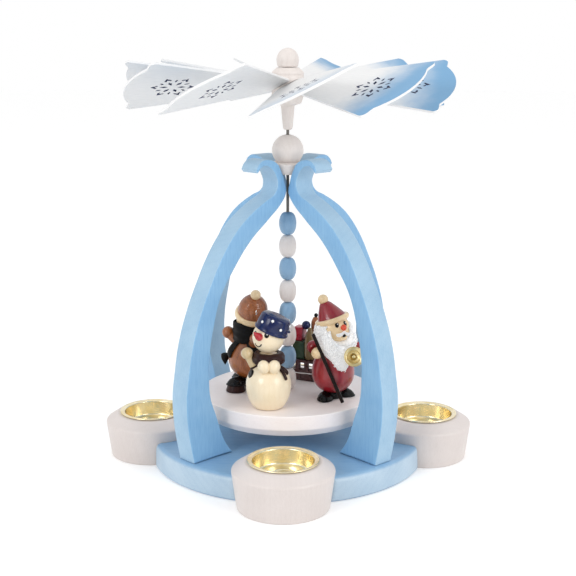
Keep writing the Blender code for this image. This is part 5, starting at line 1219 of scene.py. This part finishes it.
santa_cone = [
    (0.0, 0.0182), (0.0022, 0.0178, 0.0006), (0.0040, 0.0162, 0.0015), (0.0071, 0.0112, 0.004),
    (0.0093, 0.0070, 0.003), (0.0102, 0.0045, 0.001), (0.0100, 0.0030), (0.0, 0.0085),
]
turned_hat(santa, "santa", santa_head + 0.0011 * VIEW_RIGHT, SANTA_TURN_DEG, (-18.0, -5.0), 0.0024,
           santa_cone, 0.0192, red_lacquer, 0.0062, 0.0024, lean=-0.14)

# %% Gift bringer's eyes, nose and mouth
for side, across, up in (("left", 0.0019, 0.0026), ("right", 0.0076, 0.0036)):
    out = seen_on_ball(santa_head, SANTA_HEAD_RADIUS, across, up)[1]
    painted_eye("santa", side, santa_head, SANTA_HEAD_RADIUS, out, 0.0014, 1.35, (0.0004, 0.00022), 0.04)
nose_point, nose_out = seen_on_ball(santa_head, SANTA_HEAD_RADIUS + 0.0008, 0.0066, 0.0009)
piece("santa_nose_ball", ball("santa_nose_ball", (0.0021, 0.0021, 0.0020), 48), nose_orange_paint,
      "carousel", facing(nose_point, nose_out))
chin_point, chin_out = seen_on_ball(santa_head, SANTA_HEAD_RADIUS - 0.0006, 0.0066, -0.0062)
piece("santa_chin", ball("santa_chin", (0.0034, 0.0021, 0.0018), 48), bare_lacquer, "carousel",
      facing(chin_point, chin_out))
mouth_point, mouth_out = seen_on_ball(santa_head, SANTA_HEAD_RADIUS + 0.0008, 0.0071, -0.0048)
drop("santa_mouth", 0.0014, 0.0006, black_paint, "black_wood", mouth_point, mouth_out, 0.75)

# %% [markdown]
# ### Beard and moustache
#
# The beard is a tuft of white curled fleece. A soft core gives its bulk, and over it lie some hundreds of
# locks: each starts on the core, runs down towards the tip, and waves from side to side as crimped fleece
# does. Shorter locks hang from the sides of the head, a few stray off the tip, and none covers the face.

# %% Fleece
def fleece(name, pale, deep):
    """Fine white hair that lets light through and glows faintly, which is painted light."""
    material, tree, in_mm = new_finish(name)
    drawn_out = stretched(tree, in_mm, (1.0, 1.0, 0.35))
    hairs = add(tree, "TexNoise", {"Vector": drawn_out, "Scale": 4.0, "Detail": 4.0, "Distortion": 1.5})
    colour = add(tree, "ValToRGB", {0: hairs.outputs["Fac"]}, [(0.3, linear(deep)), (0.6, linear(pale))])
    relief = add(tree, "Bump", {"Height": hairs.outputs["Fac"], "Strength": 0.8, "Distance": 0.0002})
    # The faint emission is painted light: it brightens the fleece though it is no lamp.
    close_finish(tree, Base_Color=colour.outputs[0], Roughness=0.95, Normal=relief.outputs[0],
                 Specular_IOR_Level=0.2, Sheen_Weight=0.8, Sheen_Roughness=0.5, Subsurface_Weight=0.8,
                 Subsurface_Radius=(0.004, 0.004, 0.004), Subsurface_Scale=1.0,
                 Emission_Color=linear("FFFFFF"), Emission_Strength=0.13)
    return material


white_fleece = fleece("white_curled_fleece", "FFFFFF", "FAF9F9")
BEARD_TOP = Vector((0, -0.0030, SANTA_HEAD_Z))
beard_frame = framed(BEARD_TOP, -15.0, -24.0, "X")
BEARD_LINE = ((0.0, 0.0075), (0.0020, 0.0100), (0.0050, 0.0114), (0.0085, 0.0113), (0.0120, 0.0103),
              (0.0160, 0.0086), (0.0200, 0.0056), (0.0235, 0.0030), (0.0262, 0.0016), (0.0280, 0.0006))
BEARD_DEPTH = 0.0286


def beard_radius(depth):
    """Radius of the beard's core at a depth below its top."""
    for (d0, r0), (d1, r1) in zip(BEARD_LINE, BEARD_LINE[1:]):
        if depth <= d1:
            return r0 + (r1 - r0) * (depth - d0) / (d1 - d0)
    return BEARD_LINE[-1][1]


beard_profile = [(0.0, 0.0), *[(radius, -depth, 0.0012) for depth, radius in BEARD_LINE], (0.0, -BEARD_DEPTH)]
beard_core = lathe("beard_core", softened(beard_profile), 64)


def ball_plug(name, radii, place):
    """A ball that cuts room out of another mesh."""
    plug = new_object(name, ball(name, radii, 48))
    plug.matrix_world = place
    return plug


FACE_CENTRE = Vector((-0.0012, -0.0150, SANTA_HEAD_Z - 0.0002))
face_room = beard_frame.inverted() @ Matrix.Translation(FACE_CENTRE)
beard_core = carve(beard_core, [ball_plug("face", (0.0096, 0.0110, 0.0088), face_room)])
drift = random.Random(11)
rough = bmesh.new()
rough.from_mesh(beard_core)
for vertex in rough.verts:
    vertex.co += Vector([drift.uniform(-0.0003, 0.0003) for _ in range(3)])
rough.to_mesh(beard_core)
rough.free()
part_of(santa, "beard_core", beard_core, white_fleece, beard_frame, ["santa_beard"])


def lock(shape, start, end, swell, width, drift, waves):
    """One lock of fleece: a line that bows outwards and waves from side to side."""
    steps = 14
    line = end - start
    side = line.cross(swell).normalized()
    phase = drift.uniform(0, 2 * math.pi)
    path = []
    for i in range(steps + 1):
        t = i / steps
        wave = math.sin(2 * math.pi * waves * t + phase)
        crimp = math.cos(2 * math.pi * waves * t + phase)
        path.append(start + line * t + swell * (4 * t * (1 - t)) + side * (0.0010 * wave)
                    + swell.normalized() * (0.0005 * crimp))
    widths = [width * w for w in tapered(1.0, steps, 0.35, 0.2)]
    stroke(shape, path, widths, widths, [swell] * (steps + 1), 6)


def beard_point(t, angle_deg, lift):
    """Point on the beard in the figure's frame, from its upper edge to its tip. 0 degrees is the front."""
    depth = BEARD_DEPTH * t
    return beard_frame @ (place_at(beard_radius(depth) + lift, angle_deg, -depth))


shape = bmesh.new()
drift = random.Random(7)
for _ in range(560):
    t = drift.uniform(0.10, 0.88)
    angle = drift.uniform(-115, 130)
    start = beard_point(t, angle, 0.0002)
    end = beard_point(min(t + drift.uniform(0.14, 0.26), 1.0), angle * 0.9 + drift.uniform(-9, 9), 0.0003)
    offsets = [point - FACE_CENTRE for point in (start, (start + end) / 2)]
    if any((o.x / 0.0102) ** 2 + (o.z / 0.0094) ** 2 < 1 and (o + FACE_CENTRE).y < -0.003 for o in offsets):
        continue
    out = (start - beard_frame @ Vector((0, 0, -BEARD_DEPTH * t))).normalized()
    lock(shape, start, end, out * drift.uniform(0.0004, 0.0016), drift.uniform(0.00045, 0.0009), drift,
         drift.uniform(1.2, 2.2))
for side, nearest, farthest in ((-1, 57, 128), (1, 30, 112)):
    for _ in range(230):
        elevation = drift.uniform(-34, 22)
        azimuth = side * drift.uniform(nearest + 0.25 * max(elevation, -20.0), farthest)
        out = on_head(azimuth, elevation)
        root = Vector((0, 0, SANTA_HEAD_Z)) + out * (SANTA_HEAD_RADIUS + 0.0001)
        end = root + Vector((side * drift.uniform(-0.0002, 0.0012), drift.uniform(-0.0006, 0.0008),
                             -drift.uniform(0.0032, 0.0056)))
        lock(shape, root, end, out * drift.uniform(0.0006, 0.0014), drift.uniform(0.0004, 0.0007), drift,
             drift.uniform(1.2, 2.0))
for _ in range(70):
    start = beard_point(drift.uniform(0.5, 0.92), drift.uniform(-80, 60), 0.0002)
    end = start + Vector((drift.uniform(-0.0022, 0.0018), drift.uniform(-0.0006, 0.0010),
                          -drift.uniform(0.0028, 0.0050)))
    lock(shape, start, end, Vector((0.0, -0.0012, 0.0003)), drift.uniform(0.0003, 0.0005), drift, 1.5)
part_of(santa, "beard_locks", mesh_from(shape, "beard_locks"), white_fleece)

FRINGE_JITTER = 0.00015
shape = bmesh.new()
for sweep in (((0.0070, -0.0022), (0.0050, -0.0037), (0.0030, -0.0044), (0.0014, -0.0041)),
              ((0.0070, -0.0022), (0.0084, -0.0034), (0.0098, -0.0038), (0.0106, -0.0034))):
    for row in range(7):
        shift = 0.00022 * (row - 3)
        line = []
        for across, up in sweep:
            across = across + drift.uniform(-FRINGE_JITTER, FRINGE_JITTER)
            up = up + shift + drift.uniform(-FRINGE_JITTER, FRINGE_JITTER)
            line.append(seen_on_ball(santa_head, SANTA_HEAD_RADIUS + 0.0009, across, up)[0])
        path = smooth_line(line, 18)
        widths = [0.00050 * w for w in tapered(1.0, 18, 0.45, 0.15)]
        stroke(shape, path, widths, widths, [p - santa_head for p in path], 6)
piece("moustache", mesh_from(shape, "moustache"), white_fleece, "carousel")
print("beard and moustache done")

# %% Gift bringer's arms, staff and bell
SLEEVE_RADIUS = 0.0044
GLOVE_RADIUS = 0.0040
sleeve_z = SANTA_BODY_Z + SANTA_HEIGHT - SLEEVE_RADIUS / 3
sleeve_reach = SANTA_BELLY + SLEEVE_RADIUS / 4
cuff_edge = [(0.0, 0.0020), (0.0036, 0.0020, 0.0002), (0.0040, 0.0023, 0.0002)]
cuff_round = softened([*arc(0.0, 0.0, SLEEVE_RADIUS, SLEEVE_RADIUS, -90, 30, 20)[::-1]], 0.0)
cuff_profile = softened(cuff_edge + [(radius, height, 0.0) for radius, height in cuff_round])
for side, sleeve_deg, glove_deg, raised in (("right", -98.0, -78.0, 0.0020), ("left", 62.0, 33.0, -0.0010)):
    upper_place = place_at(sleeve_reach - SLEEVE_RADIUS, sleeve_deg, sleeve_z + raised - SLEEVE_RADIUS / 4)
    ball_part(santa, f"santa_{side}_upper_arm",
              (SLEEVE_RADIUS * 0.8, SLEEVE_RADIUS * 1.3, SLEEVE_RADIUS * 0.8), 48, red_lacquer,
              framed(upper_place, sleeve_deg), [f"santa_{side}_arm"])
    cuff_place = place_at(sleeve_reach, sleeve_deg, sleeve_z + raised)
    glove_place = place_at(sleeve_reach + GLOVE_RADIUS / 4, glove_deg, sleeve_z + 1.4 * raised - GLOVE_RADIUS)
    toward_glove = facing(cuff_place, (glove_place - cuff_place).normalized())
    turned_part(santa, f"santa_{side}_sleeve", cuff_profile, 64, red_lacquer, toward_glove)
    ball_part(santa, f"santa_{side}_hand", GLOVE_RADIUS, 64, bare_lacquer,
              framed(glove_place, glove_deg))

staff_foot = place_at(0.0192, -17.0, 0.0014)
staff_top = place_at(0.0200, -81.5, 0.0487)
staff_length = (staff_top - staff_foot).length
staff_profile = softened([(0.0, staff_length), (0.0012, staff_length, 0.0003), (0.00125, staff_length * 0.6),
                          (0.0013, staff_length * 0.1), (0.0012, 0.0, 0.0003), (0.0, 0.0)])
turned_part(santa, "leaning_staff", staff_profile, 32, staff_paint,
            facing(staff_foot, (staff_top - staff_foot).normalized()), ["santa_staff"])

bell_centre = santa_head + 0.0133 * VIEW_RIGHT - 0.0186 * VIEW_UP + 0.0152 * VIEW_TOWARDS
bell_axis = -(VIEW_TOWARDS + 0.10 * VIEW_RIGHT + 0.12 * VIEW_UP).normalized()
bell_frame = santa.inverted() @ facing(bell_centre, bell_axis)
bell_profile = softened([
    (0.0, 0.0098), (0.0012, 0.0096, 0.0003), (0.0031, 0.0068, 0.0005), (0.0041, 0.0030, 0.002),
    (0.0062, 0.0006, 0.0008), (0.0069, 0.0, 0.0002), (0.0066, -0.0002, 0.0002), (0.0060, 0.0004, 0.0004),
    (0.0046, 0.0010, 0.0003), (0.0044, 0.0015, 0.0003), (0.0032, 0.0024, 0.0006), (0.0022, 0.0028, 0.0004),
    (0.0014, 0.0050, 0.0004), (0.0006, 0.0054), (0.0006, 0.0024, 0.0002), (0.0013, 0.0016, 0.0005),
    (0.0011, 0.0002, 0.0005), (0.0, 0.0),
], 0.0002)
turned_part(santa, "hand_bell", bell_profile, 96, spun_brass, bell_frame, ["santa_bell"])

# %% [markdown]
# ## Child
#
# The child looks away, so we see the back of a brown coat, a dark scarf and a brown cap with a bare brim. The
# cap's cone is turned with fine grooves, like knitting. The boots stand on two small dark stands.

# %% Child's body, head and cap
CHILD_TURN_DEG = -98.3
child = framed(place_at(0.0276, -92.5, FIGURE_BASE_Z), CHILD_TURN_DEG)
CHILD_BELLY = 0.0146
CHILD_HEIGHT = 0.0285
CHILD_SIZES = (0.0070, CHILD_BELLY, 0.0045, 0.0125, CHILD_HEIGHT)
CHILD_BODY_Z = 0.0096
CHILD_HEAD_Z = 0.0489
CHILD_HEAD_RADIUS = 0.0105
STAND_HEIGHT = 0.0047
HEAD_SHIFT = (child.inverted().to_3x3() @ VIEW_RIGHT) * 0.0018 + Vector((0, 0, 0.0022))
child_head = child @ (Vector((0, 0, CHILD_HEAD_Z)) + HEAD_SHIFT)
head_place = child.inverted() @ Matrix.Translation(child_head)
turned_part(child, "child_egg", barrel(*CHILD_SIZES), LATHE_STEPS, brown_lacquer,
            framed((0, 0, CHILD_BODY_Z)), ["child_body"])
ball_part(child, "child_ball_head", CHILD_HEAD_RADIUS, 96, bare_lacquer, head_place,
          ["child_head"])
ball_part(child, "child_nose", 0.0013, 32, bare_lacquer,
          head_place @ framed((0, -CHILD_HEAD_RADIUS, 0.0006)))
for side, azimuth in (("left", -22), ("right", 22)):
    out = (child.to_3x3() @ on_head(azimuth, 22)).normalized()
    drop(f"child_eye_{side}", 0.0011, 0.0003, black_paint, "black_wood",
         child_head + out * CHILD_HEAD_RADIUS, out, 1.2)
mouth = []
for azimuth in (-16, -8, 0, 8, 16):
    elevation = -12 - 10 * (1 - (azimuth / 16) ** 2)
    mouth.append(child_head + (child.to_3x3() @ on_head(azimuth, elevation)) * CHILD_HEAD_RADIUS)
painted_smile("child_smile", mouth, child_head, 0.00035, 0.00025)

cap_points = ((0.0024, 0.0184), (0.0062, 0.0164), (0.0090, 0.0128), (0.0103, 0.0088), (0.0106, 0.0046))
cap_line = smooth_line([Vector((*point, 0)) for point in cap_points], 120)
cap = [(0.0, 0.0188)]
for i, point in enumerate(cap_line):
    groove = 0.00003 * (1 - math.cos(2 * math.pi * i / 12))
    cap.append((point.x - groove, point.y - groove, 0.0))
cap += [(0.0100, 0.0015), (0.0, 0.0085)]
turned_hat(child, "child", child_head, CHILD_TURN_DEG, (10.0, 26.0), 0.0010, cap, 0.0205, brown_lacquer,
           0.0052, 0.0004)

# %% Child's arms
CHILD_HAND_RADIUS = 0.0044
child_sleeve = softened([
    *arc(0.0, 0.0052, 0.0036, 0.0040, 90, 0, 16), *arc(0.0, -0.0060, 0.0033, 0.0035, 0, -90, 16),
], 0.0)
for side, angle in (("right", -8.0), ("left", 120.0)):
    place = place_at(CHILD_BELLY * 0.8, angle, CHILD_BODY_Z + CHILD_HEIGHT - CHILD_HAND_RADIUS * 0.4)
    tilt = framed(place, angle, 48.0, "X")
    turned_part(child, f"child_{side}_sleeve", child_sleeve, 64, brown_lacquer, tilt)
    ball_part(child, f"child_{side}_hand", CHILD_HAND_RADIUS, 48, brown_lacquer,
              tilt @ framed((0, 0, 0.0052)))

# %% Child's scarf, boots and basket
collar = softened([
    (0.0100, 0.0496), (0.0109, 0.0490, 0.0006), (0.0114, 0.0445, 0.002), (0.0112, 0.0390, 0.002),
    (0.0107, 0.0352, 0.0012), (0.0090, 0.0345, 0.001), (0.0072, 0.0360), (0.0098, 0.0400),
])
collar_mesh = folded_ring("child_scarf_ring", collar, 4, 0.00022, 5)
part_of(child, "child_scarf_ring", collar_mesh, matt_black, nodes=["child_scarf"])
scarf_end(child, "child_scarf_end_one", CHILD_SIZES, 0.0007, (50, 0.0384), (30, 0.0250), 0.0030, matt_black,
          CHILD_BODY_Z)
scarf_end(child, "child_scarf_end_two", CHILD_SIZES, 0.0006, (96, 0.0384), (128, 0.0292), 0.0032, matt_black,
          CHILD_BODY_Z)
shod(child, "child_boot", 0.0080, 0.0080, 25.0, STAND_HEIGHT, ["child_boots"])
stand_profile = softened([
    (0.0, STAND_HEIGHT), (0.0058, STAND_HEIGHT, 0.0005), (0.0070, 0.0006, 0.0004), (0.0069, 0.0), (0.0, 0.0),
])
for side, sign in (("left", -1), ("right", 1)):
    turned_part(child, f"child_stand_{side}", stand_profile, 64, scarf_paint,
                framed((sign * 0.0080, -0.0080, 0)))
basket = softened([
    (0.0, 0.0046), (0.0018, 0.0047, 0.0002), (0.0020, 0.0052, 0.0002), (0.0028, 0.0046, 0.0006),
    (0.0029, 0.0022, 0.001), (0.0020, 0.0000, 0.0008), (0.0008, -0.0022, 0.0006), (0.0, -0.0034),
])
basket_place = place_at(CHILD_BELLY + GAP + 0.0026, 0, CHILD_BODY_Z + 0.0125 - 0.0025)
turned_part(child, "hanging_basket", basket, 48, matt_black, framed(basket_place),
            ["child_basket"])

# %% [markdown]
# ## Sled
#
# The sled stands behind, a dark painted frame with a row of window openings and a pale line along its lower
# rail. It carries boxes, a dark blue ball, a stained sack and a turned skittle with a small black knob. The
# far side's openings sit lower, so that the white beyond shows through both rows from the camera's height.

# %% Sled frame
sled = framed(place_at(0.0319, 149.5, FIGURE_BASE_Z), -23.9)
SLED_LENGTH, SLED_WIDTH, SLED_HEIGHT, SLED_WALL = 0.030, 0.018, 0.0149, 0.0024
WINDOW_PITCH = (SLED_LENGTH - SLED_WALL) / 4


def beam(shape, size, centre, edge=0.0004):
    """A box with eased edges."""
    place = Matrix.Translation(centre) @ Matrix.Diagonal((*size, 1.0))
    made = bmesh.ops.create_cube(shape, size=1.0, matrix=place)
    edges = list({line for corner in made["verts"] for line in corner.link_edges})
    bmesh.ops.bevel(shape, geom=edges, offset=edge, segments=3, affect="EDGES", profile=0.5)


def block(name, size, edge=0.0004):
    """A mesh that holds one such box."""
    shape = bmesh.new()
    beam(shape, size, (0, 0, 0), edge)
    return mesh_from(shape, name)


shape = bmesh.new()
side_y = (SLED_WIDTH - SLED_WALL) / 2
WINDOW_WIDTH = 0.0037
for sign, sill, lintel in ((-1, 0.0081, 0.0133), (1, 0.0042, 0.0100)):
    above = (SLED_HEIGHT + lintel) / 2
    beam(shape, (SLED_LENGTH, SLED_WALL, SLED_HEIGHT - lintel), (0, sign * side_y, above))
    beam(shape, (SLED_LENGTH, SLED_WALL, sill), (0, sign * side_y, sill / 2))
    for i in range(5):
        middle = 0 < i < 4
        width = WINDOW_PITCH - WINDOW_WIDTH - (0.0 if middle else 0.0008)
        centre = (i - 2) * WINDOW_PITCH + (0.0 if middle else 0.0004 * (1 if i == 0 else -1))
        post = (width, SLED_WALL * 0.92, lintel - sill + 0.0004)
        beam(shape, post, (centre, sign * side_y, (lintel + sill) / 2), 0.0003)
inner_width = SLED_WIDTH - 2 * SLED_WALL + 0.0006
beam(shape, (SLED_LENGTH - 0.0006, inner_width, 0.0012), (0, 0, 0.0142), 0.0002)
for end in (-1, 1):
    beam(shape, (SLED_WALL, inner_width, 0.0024), (end * 0.0136, 0, 0.0060), 0.0003)
part_of(sled, "sled_rails", mesh_from(shape, "sled_rails"), sled_paint,
        nodes=["sled_frame"])
LINE_POINTS = ((-0.0130, 0.0058), (-0.0060, 0.0054), (0.0020, 0.0057), (0.0130, 0.0060))
for side, sign in (("near", -1), ("far", 1)):
    line = smooth_line([Vector((x, sign * (SLED_WIDTH / 2 + 0.00005), z)) for x, z in LINE_POINTS], 30)
    outwards = [Vector((0, sign, 0))] * len(line)
    heights = [0.00012] * len(line)
    line_mesh = stroke_mesh(f"sled_line_{side}", line, tapered(0.00035, 30), heights, outwards, 8)
    part_of(sled, f"sled_line_{side}", line_mesh, white_paint_and_glint)

# %% Parcels and sack
LOAD_Z = SLED_HEIGHT + GAP
green = block("green_box", (0.0093, SLED_WIDTH * 0.7, 0.0130), 0.0006)
part_of(sled, "green_box", green, green_paint, framed((-0.00744, 0, LOAD_Z + 0.0065)),
        ["sled_parcels"])
red = block("red_box", (0.0068, SLED_WIDTH * 0.5, 0.0100), 0.0005)
part_of(sled, "red_box", red, parcel_red_paint, framed((-0.0088, 0, LOAD_Z + 0.0181)))
ball_part(sled, "ball_parcel", 0.0032, 64, navy_paint, framed((-0.0039, 0, 0.0395)))
sack = softened([
    (0.0, 0.0236), (0.0016, 0.0234, 0.0006), (0.0018, 0.0214, 0.0006), (0.0033, 0.0186, 0.001),
    (0.0040, 0.0130, 0.003), (0.0041, 0.0030, 0.001), (0.0036, 0.0, 0.0008), (0.0, 0.0),
])
turned_part(sled, "tied_sack", sack, 96, olive_lacquer, framed((0.0008, -0.0036, LOAD_Z)),
            ["sled_sack"])
skittle = softened([
    (0.0, 0.0306), (0.0016, 0.0304, 0.0006), (0.0031, 0.0274, 0.0014), (0.0033, 0.0226, 0.0014),
    (0.0022, 0.0188, 0.001), (0.0036, 0.0140, 0.002), (0.0040, 0.0060, 0.002), (0.0034, 0.0, 0.0008),
    (0.0, 0.0),
])
skittle_frame = framed((0.0024, 0.0026, LOAD_Z))
turned_part(sled, "turned_skittle", skittle, 96, brown_lacquer, skittle_frame)
ball_part(sled, "skittle_knob", 0.0015, 48, black_paint,
          skittle_frame @ framed((0.0004, 0, 0.0319)))

# %% [markdown]
# ## Stage
#
# The carousel stands on a pale seamless sheet, close to white. A wide sky lights it from above and from all
# sides but the camera's, where it is dimmer, and two large soft lamps, left and right of the camera, give the
# turned shapes their form. Seen directly, the sheet and the sky are white.

# %% Stage and light
def pale_sheet(name):
    """White paper that looks a little brighter than it lights."""
    material, tree = new_tree(name)
    path = add(tree, "LightPath").outputs
    seen = calc(tree, "MAXIMUM", path["Is Camera Ray"], path["Is Glossy Ray"])
    seen = calc(tree, "MAXIMUM", seen, path["Is Transmission Ray"])
    close_finish(tree, Base_Color=linear("F4F4F4"), Roughness=0.9, Specular_IOR_Level=0.1,
                 Emission_Color=(1, 1, 1, 1), Emission_Strength=calc(tree, "MULTIPLY", seen, 0.20))
    return material


SHEET_HALF = 6
corners = [(-SHEET_HALF, -SHEET_HALF, 0), (SHEET_HALF, -SHEET_HALF, 0), (SHEET_HALF, SHEET_HALF, 0),
           (-SHEET_HALF, SHEET_HALF, 0)]
floor_mesh = bpy.data.meshes.new("sheet")
floor_mesh.from_pydata(corners, [], [(0, 1, 2, 3)])
floor_mesh.materials.append(pale_sheet("matt_white_paper"))
floor = new_object("pale_sheet", floor_mesh)

world = bpy.data.worlds.new("studio")
bpy.context.scene.world = world
world.use_nodes = True
sky = world.node_tree
sky.nodes.clear()
path = add(sky, "LightPath").outputs
seen = calc(sky, "MAXIMUM", path["Is Camera Ray"], path["Is Transmission Ray"])
direction = add(sky, "SeparateXYZ", {0: add(sky, "TexCoord").outputs["Generated"]}).outputs
overhead = remap(sky, direction[2], 0.0, 0.9, 0.88, 0.98)
camera_side = remap(sky, direction[1], -0.9, -0.3, 0.45, 1.0)
room = calc(sky, "MULTIPLY", overhead, camera_side)
strength = add(sky, "Mix", {0: seen, 2: room, 3: 1.0}).outputs[0]
background = add(sky, "Background", {"Color": (1, 1, 1, 1), "Strength": strength})
add(sky, "OutputWorld", {"Surface": background.outputs[0]})


def soft_lamp(name, location, size, power, target=(0, 0, 0.12)):
    """A round soft lamp that looks at the middle of the carousel."""
    lamp = bpy.data.lights.new(name, "AREA")
    lamp.shape, lamp.size, lamp.energy = "DISK", size, power
    obj = new_object(name, lamp)
    obj.location = location
    obj.rotation_euler = (Vector(target) - Vector(location)).to_track_quat("-Z", "Y").to_euler()


soft_lamp("key_left", (-0.9, -1.1, 0.75), 0.7, 6.6)
soft_lamp("fill_right", (1.0, -0.9, 0.6), 0.7, 5.6)
print("lamps:", len(bpy.data.lights))
